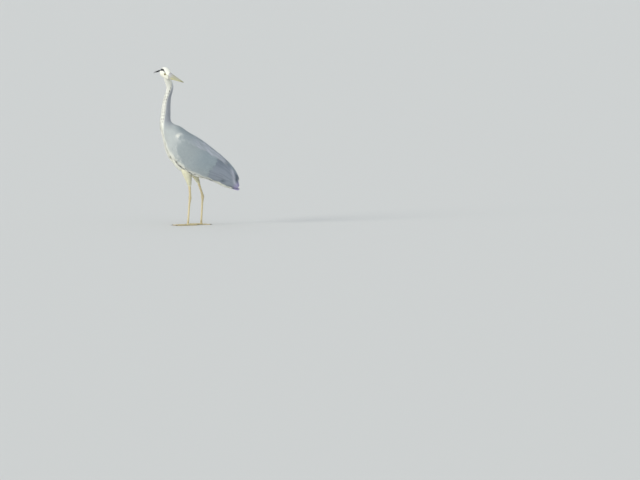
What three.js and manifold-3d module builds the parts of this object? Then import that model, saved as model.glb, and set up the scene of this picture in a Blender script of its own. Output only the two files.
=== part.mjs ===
// A life-size grey heron, standing still on both feet, as a museum model.
// Millimetres, +Z up. The breast faces -X, the bird's left side faces -Y.
// The head is turned back over the left shoulder. The feathers are part of each solid's outline.

import * as THREE from 'three';
import { mergeVertices } from 'three/addons/utils/BufferGeometryUtils.js';
import Module from 'manifold-3d';

const wasm = await Module();
wasm.setup();

// ---------- driving dimensions ----------

const seam = 0.3; // clear gap between neighbouring pieces
const taperPower = 0.7; // how full a thickness stays between its thin edges

// The body's spine from the top of the neck to the wing tips. back and breast are how far the
// feathered outline lies above and below it, and side is half the width. turn is how many degrees
// the section is twisted to the left.
const spineStations = [
  { x: -178, y: -17, z: 826, back: 15.5, breast: 15.5, side: 15.5, turn: 122 },
  { x: -167, y: -9, z: 797, back: 20, breast: 20, side: 19, turn: 96 },
  { x: -156, y: -3, z: 765, back: 20, breast: 20, side: 19.5, turn: 70 },
  { x: -159, y: 0, z: 735, back: 18, breast: 18, side: 18, turn: 52 },
  { x: -167, y: 0, z: 706, back: 18.5, breast: 18.5, side: 18.5, turn: 43 },
  { x: -173, y: 0, z: 676, back: 22, breast: 21.5, side: 21, turn: 38 },
  { x: -176, y: 0, z: 646, back: 24, breast: 24, side: 23, turn: 36 },
  { x: -178, y: 0, z: 616, back: 25.5, breast: 25.5, side: 25, turn: 33 },
  { x: -180, y: 0, z: 586, back: 27.5, breast: 28, side: 28, turn: 28 },
  { x: -178, y: 0, z: 557, back: 35, breast: 31.5, side: 34, turn: 18 },
  { x: -168, y: 0, z: 528, back: 52, breast: 39, side: 43, turn: 10 },
  { x: -148, y: 0, z: 498, back: 67.5, breast: 55, side: 56, turn: 3 },
  { x: -114, y: 0, z: 461, back: 77.5, breast: 85.5, side: 70, turn: 0 },
  { x: -71, y: 0, z: 418, back: 92, breast: 103, side: 79, turn: 0 },
  { x: -23, y: 0, z: 378, back: 98, breast: 113, side: 80, turn: 0 },
  { x: 29, y: 0, z: 345, back: 93, breast: 98, side: 77, turn: 0 },
  { x: 82, y: 0, z: 316, back: 82, breast: 82, side: 68, turn: 0 },
  { x: 132, y: 0, z: 285, back: 69, breast: 62.5, side: 56, turn: 0 },
  { x: 175, y: 0, z: 249, back: 52, breast: 46, side: 45, turn: 0 },
  { x: 198, y: 0, z: 228, back: 35, breast: 31, side: 35, turn: 0 },
  { x: 216, y: 0, z: 209, back: 17.5, breast: 17.5, side: 25, turn: 0 },
  { x: 225, y: 0, z: 196, back: 9, breast: 9, side: 16, turn: 0 },
];
const neckEnds = [0, 3, 6, 9]; // spine stations where the neck's three lengths begin and end
const trunkStart = 9;
const trunkEnd = 18.4;
const squareBelly = { from: 13.5, full: 15.5, amount: 0.55 }; // how much squarer than an ellipse
const hollowBelly = { from: 13.2, full: 14.7, until: 16, gone: 17.5, depth: 9 }; // between the wings
const rumpFrom = 15.6; // behind this station the trunk shrinks to the tail's root

// The folded wing's borders on the body, in degrees round it from the breast line.
const wingStations = [
  { at: 11.1, top: 112, low: 88 },
  { at: 11.5, top: 130, low: 70 },
  { at: 12, top: 139, low: 57 },
  { at: 13, top: 148, low: 44 },
  { at: 14, top: 154, low: 38 },
  { at: 15, top: 160, low: 36 },
  { at: 16, top: 168, low: 36 },
  { at: 17, top: 176, low: 37 },
  { at: 18, top: 178, low: 46 },
  { at: 19, top: 178, low: 60 },
  { at: 20, top: 178, low: 76 },
  { at: 20.9, top: 172, low: 90 },
];
const wingLeadIn = 0.8; // stations ahead of the wing over which the trunk sinks to make room for it
const wingSplit = 16.6; // where the primaries' tips begin
const wingThick = 13; // at the middle of the folded wing
const wingEdge = 1.5; // along its borders
const tipThick = 6; // at the middle of the primaries' tips

// The tail, from inside the rump to its blunt end: thick and side are half sizes.
const tailStations = [
  { x: 154, z: 228, thick: 8, side: 18 },
  { x: 168, z: 220.5, thick: 11, side: 22.5 },
  { x: 187, z: 209.5, thick: 9, side: 24 },
  { x: 208, z: 199.5, thick: 5.5, side: 22 },
  { x: 226, z: 191.5, thick: 2.2, side: 18 },
];
const rumpThick = 13; // half depth of the trunk where it ends in the tail
const rumpSide = 25;

// The head in its own axes: x along the bill, y to the bird's left, z up.
const headPlace = new THREE.Vector3(-173, -29, 838);
const headTurn = 46; // degrees that the bill points towards -Y, measured from +X
const headPitch = 16; // degrees that the bill points below the level
const headStations = [
  { x: -45, top: 2, low: -8, side: 5 },
  { x: -40, top: 12.5, low: -20.5, side: 12.5 },
  { x: -29, top: 22, low: -28, side: 18.5 },
  { x: -14, top: 27.3, low: -31, side: 20.5 },
  { x: 0, top: 26.5, low: -32.5, side: 20 },
  { x: 12, top: 22.8, low: -33, side: 18 },
  { x: 23, top: 17, low: -32, side: 15.3 },
  { x: 33, top: 10.8, low: -29.5, side: 12.8 },
];
const eye = { radius: 6.4, x: 9, y: 13.6, z: -5.5 };

// The bill from its base to the tip: culmen and keel are its upper and lower outlines.
const billStations = [
  { x: 33.3, culmen: 10.3, cut: -9.5, keel: -29, side: 12.4 },
  { x: 45, culmen: 7.8, cut: -9.9, keel: -26, side: 10.4 },
  { x: 65, culmen: 4.6, cut: -10.1, keel: -22, side: 7.9 },
  { x: 90, culmen: 0.7, cut: -10.2, keel: -18, side: 5.6 },
  { x: 115, culmen: -2.9, cut: -10.2, keel: -15.3, side: 3.9 },
  { x: 135, culmen: -5.9, cut: -10.2, keel: -13, side: 2.4 },
  { x: 148, culmen: -8.6, cut: -10.3, keel: -11.3, side: 1 },
];
const billFullness = 0.9; // under 1, its sides are fuller than an ellipse
const billOverhang = 4; // the upper half's tip reaches this far past the lower half's

// The two crest plumes that trail from the nape, in the head's axes.
const crest = { x: -36, y: 7, z: 5, length: 72, spread: 5, arch: 5, droop: 48, wide: 3.4, thick: 1.5 };

// Each leg from inside the body to the foot: stations give the path and half the thickness.
const legStations = {
  left: [
    { x: -66, y: -32, z: 322, wide: 27 },
    { x: -62, y: -33, z: 292, wide: 26 },
    { x: -57, y: -34, z: 267, wide: 20 },
    { x: -52.5, y: -34, z: 246, wide: 14 },
    { x: -49, y: -34, z: 228, wide: 10 },
    { x: -47.5, y: -34, z: 214, wide: 7.4 },
    { x: -45.5, y: -34, z: 180, wide: 6.2 },
    { x: -45, y: -34, z: 163, wide: 6.8 },
    { x: -45, y: -34, z: 152, wide: 8.4 },
    { x: -46, y: -34, z: 140, wide: 6.8 },
    { x: -48.5, y: -34.5, z: 118, wide: 5.2 },
    { x: -53, y: -35, z: 60, wide: 4.9 },
    { x: -55.5, y: -35, z: 24, wide: 5.4 },
    { x: -56.5, y: -35, z: 12.4, wide: 6.4 },
  ],
  right: [
    { x: -40, y: 32, z: 322, wide: 27 },
    { x: -32, y: 33, z: 295, wide: 25 },
    { x: -22, y: 34, z: 272, wide: 18.5 },
    { x: -13, y: 34, z: 256, wide: 13 },
    { x: -5, y: 34, z: 240, wide: 9.4 },
    { x: 1, y: 34, z: 226, wide: 7 },
    { x: 13, y: 34, z: 189, wide: 6 },
    { x: 19.5, y: 34, z: 168, wide: 6.8 },
    { x: 21.5, y: 34, z: 157, wide: 8.4 },
    { x: 21.5, y: 34, z: 145, wide: 6.8 },
    { x: 20, y: 34.5, z: 122, wide: 5.2 },
    { x: 16.5, y: 35, z: 62, wide: 4.9 },
    { x: 14.5, y: 35, z: 24, wide: 5.4 },
    { x: 14, y: 35, z: 12.4, wide: 6.4 },
  ],
};
const legEnds = { thigh: [0, 4], shin: [4, 7], ankle: [7, 9], tarsus: [9, 13] };
const legDeepness = 1.12; // a bare leg is this much deeper fore and aft than it is wide
const thighDeepness = 1.4; // and its feathered thigh, at its top

// Toes: angle in degrees from straight ahead and root beside the foot's middle, positive inwards.
const toes = {
  inner: { angle: 34, root: 4.6, length: 60, wide: 4.1, joints: 2 },
  middle: { angle: 2, root: 0, length: 82, wide: 4.3, joints: 3 },
  outer: { angle: -31, root: -4.6, length: 68, wide: 4.1, joints: 3 },
  hind: { angle: 172, root: 1, length: 50, wide: 4, joints: 1 },
};
const footHub = { radius: 9, height: 12 };
const toeHeight = 1.75; // a toe's height over half its width
const toeSink = 0.55; // over 0.5, the toe's round underside is pressed flat on the floor
const toeTaper = 0.68; // thickness at the claw over thickness at the root
const toeKnuckle = 0.13; // how much a joint's pad swells the toe
const claw = { length: 13, wide: 2.2, tip: 0.45, arch: 1.6, lift: 0.5 };

// How finely the surfaces are divided.
const bellyCells = 3; // columns from the breast line to the wing's lower border
const wingCells = 8; // columns across the wing
const backCells = 2; // columns from the wing's upper border to the back
const spineStep = 0.45; // rows along the trunk and wings, in stations
const neckStep = 0.5;
const neckFan = { low: 60, top: 120 }; // where the trunk's columns bunch for the wing, at the neck
const shoulderRows = 5;
const rumpRows = 4;
const tailRows = 8;
const tailSides = 16;
const neckSides = 18;
const headSides = 18;
const headRows = 13;
const billRows = 12;
const billSides = 7;
const crestRows = 7;
const legSides = { thigh: 12, bare: 10 };
const toeSides = 8;
const plumeSides = 6;
const clawRows = 5;

// ---------- materials ----------

function material(color, roughness) {
  return new THREE.MeshStandardMaterial({ color, roughness, metalness: 0 });
}

const paleFeather = material('#dfe2d6', 0.85);
const neckFeather = material('#b3b7bb', 0.85);
const bodyFeather = material('#a9b0b4', 0.85);
const wingFeather = material('#94a1a8', 0.8);
const slateFeather = material('#5f6a75', 0.75);
const blackFeather = material('#23262b', 0.7);
const horn = material('#c9c38d', 0.45);
const legSkin = material('#c3b389', 0.6);
const clawHorn = material('#4a443c', 0.45);
const eyeYellow = material('#e5c63a', 0.15);

// ---------- shape helpers ----------

const degree = Math.PI / 180;

// A station's place is its number in the list. Between stations each value follows a smooth cubic
// whose slope at a station comes from the stations on both sides.
function along(stations, key, at) {
  const last = stations.length - 1;
  const i = Math.min(Math.max(Math.floor(at), 0), last - 1);
  const place = (k) => stations[k].at ?? k;
  return cubic(stations, key, at, i, place, last);
}

function slope(stations, key, k, place, last) {
  const a = Math.max(k - 1, 0);
  const b = Math.min(k + 1, last);
  return (stations[b][key] - stations[a][key]) / (place(b) - place(a));
}

function cubic(stations, key, at, i, place, last) {
  const width = place(i + 1) - place(i);
  const t = Math.min(Math.max((at - place(i)) / width, 0), 1);
  const p0 = stations[i][key];
  const p1 = stations[i + 1][key];
  const m0 = slope(stations, key, i, place, last) * width;
  const m1 = slope(stations, key, i + 1, place, last) * width;
  const t2 = t * t;
  const t3 = t2 * t;
  return (2 * t3 - 3 * t2 + 1) * p0 + (t3 - 2 * t2 + t) * m0 + (3 * t2 - 2 * t3) * p1 + (t3 - t2) * m1;
}

// The same for a list whose stations state their own place along the spine.
function alongPlaced(stations, key, at) {
  const last = stations.length - 1;
  let i = 0;
  while (i < last - 1 && stations[i + 1].at < at) i += 1;
  return cubic(stations, key, at, i, (k) => stations[k].at, last);
}

// Goes smoothly from 0 to 1 between two places.
function rise(at, from, full) {
  const t = Math.min(Math.max((at - from) / (full - from), 0), 1);
  return t * t * (3 - 2 * t);
}

function mix(a, b, t) {
  return a + (b - a) * t;
}

// The angles, in radians, of the points round a closed ring.
function roundAngles(sides) {
  return spaced(0, 2 * Math.PI, sides).slice(1);
}

// Evenly spaced numbers from first to last, both included.
function spaced(first, last, cells) {
  return Array.from({ length: cells + 1 }, (_, i) => mix(first, last, i / cells));
}

// A closed mesh from points and triangles, turned so that its faces point out.
function closedMesh(points, triangles) {
  let volume = 0;
  for (const [a, b, c] of triangles) {
    volume += points[a].dot(new THREE.Vector3().crossVectors(points[b], points[c]));
  }
  const faces = volume < 0 ? triangles.map(([a, b, c]) => [a, c, b]) : triangles;
  const geometry = new THREE.BufferGeometry();
  geometry.setAttribute('position', new THREE.Float32BufferAttribute(points.flatMap((p) => p.toArray()), 3));
  geometry.setIndex(faces.flat());
  return geometry;
}

// Joins rings of equal point counts into a solid with a flat cap at each end.
function loft(rings) {
  const sides = rings[0].length;
  const points = rings.flat();
  const triangles = [];
  for (let i = 0; i < rings.length - 1; i += 1) {
    for (let j = 0; j < sides; j += 1) {
      const a = i * sides + j;
      const b = i * sides + ((j + 1) % sides);
      triangles.push([a, b, b + sides], [a, b + sides, a + sides]);
    }
  }
  for (const [ring, first, flip] of [[rings[0], 0, true], [rings.at(-1), points.length - sides, false]]) {
    const middle = ring.reduce((sum, p) => sum.add(p), new THREE.Vector3()).divideScalar(sides);
    const centre = points.push(middle) - 1;
    for (let j = 0; j < sides; j += 1) {
      const a = first + j;
      const b = first + ((j + 1) % sides);
      triangles.push(flip ? [centre, b, a] : [centre, a, b]);
    }
  }
  return closedMesh(points, triangles);
}

// Joins an outer and an inner sheet of the same grid into a plate closed round its border.
function plate(outer, inner) {
  const rows = outer.length;
  const columns = outer[0].length;
  const points = [...outer.flat(), ...inner.flat()];
  const layer = rows * columns;
  const triangles = [];
  const quad = (a, b, c, d) => triangles.push([a, b, c], [a, c, d]);
  for (let i = 0; i < rows - 1; i += 1) {
    for (let j = 0; j < columns - 1; j += 1) {
      const a = i * columns + j;
      quad(a, a + 1, a + columns + 1, a + columns);
      quad(layer + a, layer + a + columns, layer + a + columns + 1, layer + a + 1);
    }
  }
  for (let j = 0; j < columns - 1; j += 1) {
    const end = (rows - 1) * columns + j;
    quad(j + 1, j, layer + j, layer + j + 1);
    quad(end, end + 1, layer + end + 1, layer + end);
  }
  for (let i = 0; i < rows - 1; i += 1) {
    const a = i * columns;
    const b = a + columns - 1;
    quad(a, a + columns, layer + a + columns, layer + a);
    quad(b + columns, b, layer + b, layer + b + columns);
  }
  return closedMesh(points, triangles);
}

function solidOf(geometry) {
  const bare = geometry.clone();
  bare.deleteAttribute('normal');
  bare.deleteAttribute('uv');
  const merged = mergeVertices(bare);
  return new wasm.Manifold(new wasm.Mesh({
    numProp: 3,
    vertProperties: Float32Array.from(merged.attributes.position.array),
    triVerts: Uint32Array.from(merged.index.array),
  }));
}

// The geometry that is left when the tools are cut away.
function carve(geometry, ...tools) {
  let body = solidOf(geometry);
  for (const tool of tools) body = body.subtract(solidOf(tool));
  const mesh = body.getMesh();
  const result = new THREE.BufferGeometry();
  result.setAttribute('position', new THREE.BufferAttribute(Float32Array.from(mesh.vertProperties), 3));
  result.setIndex(Array.from(mesh.triVerts));
  return result;
}

function named(name, geometry, surface) {
  const mesh = new THREE.Mesh(geometry, surface);
  mesh.name = name;
  return mesh;
}

// ---------- body surface ----------

// The spine's centre, its direction, and the back and left directions across it.
function spineFrame(at) {
  const step = 0.05;
  const point = (t) => new THREE.Vector3(
    along(spineStations, 'x', t),
    along(spineStations, 'y', t),
    along(spineStations, 'z', t),
  );
  const last = spineStations.length - 1;
  const ahead = point(Math.min(at + step, last));
  const tangent = ahead.sub(point(Math.max(at - step, 0))).normalize();
  const back = new THREE.Vector3(-tangent.z, 0, tangent.x).normalize();
  const left = new THREE.Vector3().crossVectors(tangent, back);
  const turn = along(spineStations, 'turn', at) * degree;
  const turnedBack = back.clone().multiplyScalar(Math.cos(turn)).addScaledVector(left, -Math.sin(turn));
  const turnedLeft = left.clone().multiplyScalar(Math.cos(turn)).addScaledVector(back, Math.sin(turn));
  return { centre: point(at), back: turnedBack, left: turnedLeft };
}

// A point of the feathered outline, sunk by inset. round is the angle in degrees from the breast
// line, positive on the bird's left. The underside behind the legs is squarer than an ellipse.
function bodyPoint(at, round, inset = 0) {
  const frame = spineFrame(at);
  const c = Math.cos(round * degree);
  const s = Math.sin(round * degree);
  const square = c > 0 ? squareBelly.amount * rise(at, squareBelly.from, squareBelly.full) : 0;
  const power = 2 / (2 + square);
  const deep = along(spineStations, c > 0 ? 'breast' : 'back', at) - inset;
  const side = along(spineStations, 'side', at) - inset;
  const offset = -Math.sign(c) * Math.abs(c) ** power * deep;
  const across = Math.sign(s) * Math.abs(s) ** power * side;
  return { frame, offset, across, deep, side };
}

function placed({ frame, offset, across }) {
  return frame.centre.clone().addScaledVector(frame.back, offset).addScaledVector(frame.left, across);
}

function outlinePoint(at, round, inset = 0) {
  return placed(bodyPoint(at, round, inset));
}

// The trunk's own surface: the rump shrinks to the root of the tail along the body's lower side.
function trunkPoint(at, round, inset) {
  const p = bodyPoint(at, round, inset);
  const shrink = rise(at, rumpFrom, trunkEnd);
  const low = along(spineStations, 'breast', at) - inset - rumpThick;
  p.offset = mix(p.offset, p.offset * (rumpThick / p.deep) - low, shrink);
  p.across = mix(p.across, p.across * (rumpSide / p.side), shrink);
  return placed(p);
}

// ---------- wings and trunk ----------

const wingFirst = wingStations[0].at;
const wingLast = wingStations.at(-1).at;

// The wing is thick in the middle and thin along its borders. across runs from 0 to 1.
function wingThickness(at, across) {
  const lengthways = Math.min(Math.max((at - wingFirst) / (wingSplit - wingFirst), 0), 1);
  const full = mix(wingThick, tipThick, rise(lengthways, 0.5, 1));
  const front = Math.sin(Math.min(lengthways * 2, 0.5) * Math.PI);
  const tip = 1 - rise(at, wingSplit, wingLast);
  const middle = Math.max(Math.sin(across * Math.PI), 0) ** taperPower;
  return wingEdge + (full - wingEdge) * middle * front * tip;
}

function wingAngle(at, across) {
  const low = alongPlaced(wingStations, 'low', at);
  const top = alongPlaced(wingStations, 'top', at);
  return mix(low, top, across);
}

function wingRows(first, last) {
  return spaced(first, last, Math.round((last - first) / spineStep));
}

// A wing's columns run the same way round the body as the trunk's, so that their facets match.
function wingSheet(first, last, hand, inner) {
  const columns = hand > 0 ? spaced(0, 1, wingCells) : spaced(1, 0, wingCells);
  return wingRows(first, last).map((at) => columns.map((across) => {
    const inset = inner ? wingThickness(at, across) : 0;
    return outlinePoint(at, hand * wingAngle(at, across), inset);
  }));
}

function wingPlate(first, last, hand) {
  return plate(wingSheet(first, last, hand, false), wingSheet(first, last, hand, true));
}

// One half of a trunk ring, from the breast line to the back: its columns follow the wing's borders,
// so that the facets of wing and trunk lie parallel.
function trunkHalfRing(at, grow) {
  const place = Math.min(Math.max(at, wingFirst), wingLast);
  const fan = rise(at, trunkStart, wingFirst);
  const low = mix(neckFan.low, wingAngle(place, 0), fan);
  const top = mix(neckFan.top, wingAngle(place, 1), fan);
  const covered = rise(at, wingFirst - wingLeadIn, wingFirst);
  const { from, full, until, gone, depth } = hollowBelly;
  const hollow = depth * rise(at, from, full) * (1 - rise(at, until, gone));
  const half = [];
  for (const across of spaced(0, 1, bellyCells).slice(0, -1)) {
    half.push({ angle: low * across, inset: hollow });
  }
  for (const across of spaced(0, 1, wingCells)) {
    half.push({ angle: mix(low, top, across), inset: covered * (wingThickness(place, across) + seam) });
  }
  for (const across of spaced(0, 1, backCells).slice(1)) {
    half.push({ angle: mix(top, 180, across), inset: 0 });
  }
  return half.map(({ angle, inset }) => ({ angle, inset: inset - grow }));
}

function trunkGeometry(grow = 0) {
  const front = spaced(trunkStart, wingFirst, shoulderRows).slice(0, -1);
  const rows = [...front, ...wingRows(wingFirst, wingSplit), ...spaced(wingSplit + spineStep, trunkEnd, rumpRows)];
  return loft(rows.map((at) => {
    const half = trunkHalfRing(at, grow);
    const mirrored = half.slice(1, -1).reverse();
    return [
      ...half.map(({ angle, inset }) => trunkPoint(at, angle, inset)),
      ...mirrored.map(({ angle, inset }) => trunkPoint(at, -angle, inset)),
    ];
  }));
}

function tailGeometry() {
  const rows = spaced(0, tailStations.length - 1, tailRows);
  return loft(rows.map((at) => {
    const centre = new THREE.Vector3(along(tailStations, 'x', at), 0, along(tailStations, 'z', at));
    const ahead = Math.min(at + 0.1, tailStations.length - 1);
    const behind = Math.max(at - 0.1, 0);
    const dx = along(tailStations, 'x', ahead) - along(tailStations, 'x', behind);
    const dz = along(tailStations, 'z', ahead) - along(tailStations, 'z', behind);
    const up = new THREE.Vector3(-dz, 0, dx).normalize();
    const thick = along(tailStations, 'thick', at);
    const side = along(tailStations, 'side', at);
    return roundAngles(tailSides).map((round) => {
      const across = Math.cos(round) * side;
      return centre.clone().addScaledVector(up, Math.sin(round) * thick).add(new THREE.Vector3(0, across, 0));
    });
  }));
}

// ---------- neck ----------

function neckGeometry(first, last) {
  const cells = Math.round((last - first) / neckStep);
  return loft(spaced(first, last, cells).map((at) => (
    roundAngles(neckSides).map((round) => outlinePoint(at, round / degree))
  )));
}

// ---------- head, in its own axes ----------

function headGeometry(grow = 0) {
  const rows = spaced(0, headStations.length - 1, headRows);
  const first = headStations[0].x - grow;
  const last = headStations.at(-1).x + grow;
  return loft(rows.map((at, i) => {
    const top = along(headStations, 'top', at) + grow;
    const low = along(headStations, 'low', at) - grow;
    const side = along(headStations, 'side', at) + grow;
    let x = along(headStations, 'x', at);
    if (i === 0) x = first;
    if (i === rows.length - 1) x = last;
    return roundAngles(headSides).map((round) => (
      new THREE.Vector3(x, side * Math.cos(round), mix(low, top, (Math.sin(round) + 1) / 2))
    ));
  }));
}

function eyeGeometry(hand, grow = 0) {
  const ball = new THREE.SphereGeometry(eye.radius + grow, 12, 8);
  ball.translate(eye.x, hand * eye.y, eye.z);
  return ball;
}

// Half of the bill: a rounded ridge on the outside, flat where the two halves meet.
function billGeometry(edge, gap, overhang) {
  const rows = spaced(0, billStations.length - 1, billRows);
  const reach = billStations.at(-1).x - billStations[0].x;
  return loft(rows.map((at) => {
    const place = along(billStations, 'x', at);
    const x = place + overhang * ((place - billStations[0].x) / reach);
    const cut = along(billStations, 'cut', at) + gap;
    const ridge = along(billStations, edge, at);
    const side = along(billStations, 'side', at);
    return spaced(0, Math.PI, billSides).map((round) => (
      new THREE.Vector3(x, Math.cos(round) * side, mix(cut, ridge, Math.sin(round) ** billFullness))
    ));
  }));
}

function crestGeometry(hand) {
  return loft(spaced(0, 1, crestRows).map((t) => {
    const x = crest.x - crest.length * t;
    const y = hand * (crest.y + crest.spread * t);
    const z = crest.z + crest.arch * Math.sin(t * Math.PI) - crest.droop * t;
    const swell = 1 - 0.8 * t ** 2;
    return roundAngles(plumeSides).map((round) => new THREE.Vector3(
      x,
      y + Math.cos(round) * crest.wide * swell,
      z + Math.sin(round) * crest.thick * swell,
    ));
  }));
}

// ---------- legs and feet ----------

function legGeometry(side, part) {
  const stations = legStations[side];
  const [first, last] = legEnds[part];
  const gap = seam / 2;
  const feathered = part === 'thigh';
  const sides = feathered ? legSides.thigh : legSides.bare;
  const rows = spaced(first, last, (last - first) * 2);
  const top = stations[first].z;
  const bottom = stations[last].z;
  return loft(rows.map((at) => {
    const wide = along(stations, 'wide', at);
    const deepness = feathered ? mix(thighDeepness, legDeepness, at / last) : legDeepness;
    const z = along(stations, 'z', at);
    const level = mix(top - gap, bottom + gap, (top - z) / (top - bottom));
    return roundAngles(sides).map((round) => new THREE.Vector3(
      along(stations, 'x', at) + Math.cos(round) * wide,
      along(stations, 'y', at) + Math.sin(round) * (wide / deepness),
      level,
    ));
  }));
}

// The pad where the toes meet: domed, and flat underneath.
function hubGeometry(grow = 0) {
  const radius = footHub.radius + grow;
  const top = footHub.height - seam + grow;
  const profile = [[0, -grow], [radius * 0.7, -grow], [radius, top * 0.3], [radius * 0.95, top * 0.6]];
  profile.push([radius * 0.72, top], [0, top]);
  const dome = new THREE.LatheGeometry(profile.map(([x, y]) => new THREE.Vector2(x, y)), 12);
  return dome.rotateX(Math.PI / 2);
}

// A toe along +X from the foot's middle, its underside flat on the floor.
function toeGeometry({ length, wide, joints }) {
  const rows = spaced(0, 1, joints * 2 + 4);
  return loft(rows.map((t) => {
    const knuckle = 1 + toeKnuckle * Math.cos(t * (joints + 1) * 2 * Math.PI);
    const half = wide * mix(1, toeTaper, t) * knuckle;
    const high = half * toeHeight;
    return roundAngles(toeSides).map((turn) => {
      const round = turn - (Math.PI / toeSides) * (1 + toeSides / 2);
      const lift = Math.max(0, high * (0.5 + toeSink * Math.sin(round)));
      return new THREE.Vector3(length * t, Math.cos(round) * half, lift);
    });
  }));
}

// A claw that carries on from the toe's end, arched, its point just clear of the floor.
function clawGeometry({ length, wide }) {
  const root = wide * toeTaper * toeHeight * 0.5;
  return loft(spaced(0, 1, clawRows).map((t) => {
    const radius = mix(claw.wide, claw.tip, t ** 1.3);
    const middle = mix(root, claw.tip + claw.lift, t) + claw.arch * Math.sin(t * Math.PI);
    return roundAngles(plumeSides).map((round) => new THREE.Vector3(
      length + seam + claw.length * t,
      Math.cos(round) * radius,
      middle + Math.sin(round) * radius,
    ));
  }));
}

function splayed(geometry, { angle, root }, hand) {
  return geometry.rotateZ(-hand * angle * degree).translate(0, -hand * root, 0);
}

// ---------- assembly ----------

function headGroup() {
  const group = new THREE.Group();
  group.position.copy(headPlace);
  group.rotation.set(0, headPitch * degree, -headTurn * degree, 'ZYX');
  const sockets = [eyeGeometry(1, seam), eyeGeometry(-1, seam)];
  const roots = [crestGeometry(1), crestGeometry(-1)];
  const skull = headGeometry();
  group.add(named('head', carve(skull, ...sockets), paleFeather));
  group.add(named('bill_upper', billGeometry('culmen', seam / 2, billOverhang), horn));
  group.add(named('bill_lower', billGeometry('keel', -seam / 2, 0), horn));
  group.add(named('eye_left', eyeGeometry(1), eyeYellow));
  group.add(named('eye_right', eyeGeometry(-1), eyeYellow));
  group.add(named('crest_left', carve(roots[0], headGeometry(seam)), blackFeather));
  group.add(named('crest_right', carve(roots[1], headGeometry(seam)), blackFeather));
  group.updateMatrixWorld(true);
  return group;
}

function neckMeshes(head) {
  const [top, kink, middle, base] = neckEnds;
  const gap = 0.005; // in stations of about 30 mm, half of the seam
  const skull = headGeometry(seam).applyMatrix4(head.matrixWorld);
  const upper = carve(neckGeometry(top, kink - gap), skull);
  return [
    named('neck_upper', upper, neckFeather),
    named('neck_middle', neckGeometry(kink + gap, middle - gap), neckFeather),
    named('neck_lower', neckGeometry(middle + gap, base - gap * 2), neckFeather),
  ];
}

function wingMeshes(side, hand) {
  const gap = 0.003; // in stations of about 55 mm, half of the seam
  return [
    named(`wing_${side}`, wingPlate(wingFirst, wingSplit - gap, hand), wingFeather),
    named(`primaries_${side}`, wingPlate(wingSplit + gap, wingLast, hand), slateFeather),
  ];
}

function legMeshes(side, wings) {
  const cutters = [trunkGeometry(seam), ...wings.map((wing) => wing.geometry)];
  const thigh = carve(legGeometry(side, 'thigh'), ...cutters);
  return [
    named(`thigh_${side}`, thigh, paleFeather),
    named(`shin_${side}`, legGeometry(side, 'shin'), legSkin),
    named(`ankle_${side}`, legGeometry(side, 'ankle'), legSkin),
    named(`tarsus_${side}`, legGeometry(side, 'tarsus'), legSkin),
  ];
}

// A foot in its own axes, +X ahead, stood under the end of its leg. hand is 1 on the left.
function footGroup(side, hand) {
  const group = new THREE.Group();
  const end = legStations[side].at(-1);
  group.position.set(end.x, end.y, 0);
  group.rotation.z = Math.PI;
  group.add(named(`foot_${side}`, hubGeometry(), legSkin));
  for (const [name, toe] of Object.entries(toes)) {
    const body = carve(splayed(toeGeometry(toe), toe, hand), hubGeometry(seam));
    group.add(named(`toe_${name}_${side}`, body, legSkin));
    group.add(named(`claw_${name}_${side}`, splayed(clawGeometry(toe), toe, hand), clawHorn));
  }
  return group;
}

function heronGroup() {
  const heron = new THREE.Group();
  const head = headGroup();
  heron.add(head, ...neckMeshes(head));
  heron.add(named('trunk', trunkGeometry(), bodyFeather));
  heron.add(named('tail', carve(tailGeometry(), trunkGeometry(seam)), wingFeather));
  for (const [side, hand] of [['left', 1], ['right', -1]]) {
    const wings = wingMeshes(side, hand);
    heron.add(...wings, ...legMeshes(side, wings), footGroup(side, hand));
  }
  return heron;
}

// The origin is under the middle of the whole bird's box, on the floor.
const heron = heronGroup();
heron.updateMatrixWorld(true);
const middle = new THREE.Box3().setFromObject(heron, true).getCenter(new THREE.Vector3());
heron.position.set(-middle.x, -middle.y, 0);

const group = new THREE.Group();
group.add(heron);

export default group;
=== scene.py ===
import math

import bpy
import numpy as np
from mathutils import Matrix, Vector


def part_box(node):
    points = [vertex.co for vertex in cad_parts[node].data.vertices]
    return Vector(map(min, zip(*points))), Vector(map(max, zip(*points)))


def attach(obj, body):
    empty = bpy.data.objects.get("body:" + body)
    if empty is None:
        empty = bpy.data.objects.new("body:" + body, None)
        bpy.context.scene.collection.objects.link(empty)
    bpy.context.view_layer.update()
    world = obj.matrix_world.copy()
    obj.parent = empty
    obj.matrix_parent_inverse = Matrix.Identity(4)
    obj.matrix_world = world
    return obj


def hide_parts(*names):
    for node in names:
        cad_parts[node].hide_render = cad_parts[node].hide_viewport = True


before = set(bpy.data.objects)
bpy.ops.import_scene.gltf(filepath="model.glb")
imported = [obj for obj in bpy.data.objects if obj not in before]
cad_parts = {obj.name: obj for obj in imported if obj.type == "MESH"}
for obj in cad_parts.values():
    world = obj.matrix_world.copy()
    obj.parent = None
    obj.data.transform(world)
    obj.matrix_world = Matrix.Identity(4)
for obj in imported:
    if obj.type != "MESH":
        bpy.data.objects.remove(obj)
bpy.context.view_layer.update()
mm = 0.001
print("stage: frame loaded")

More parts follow.
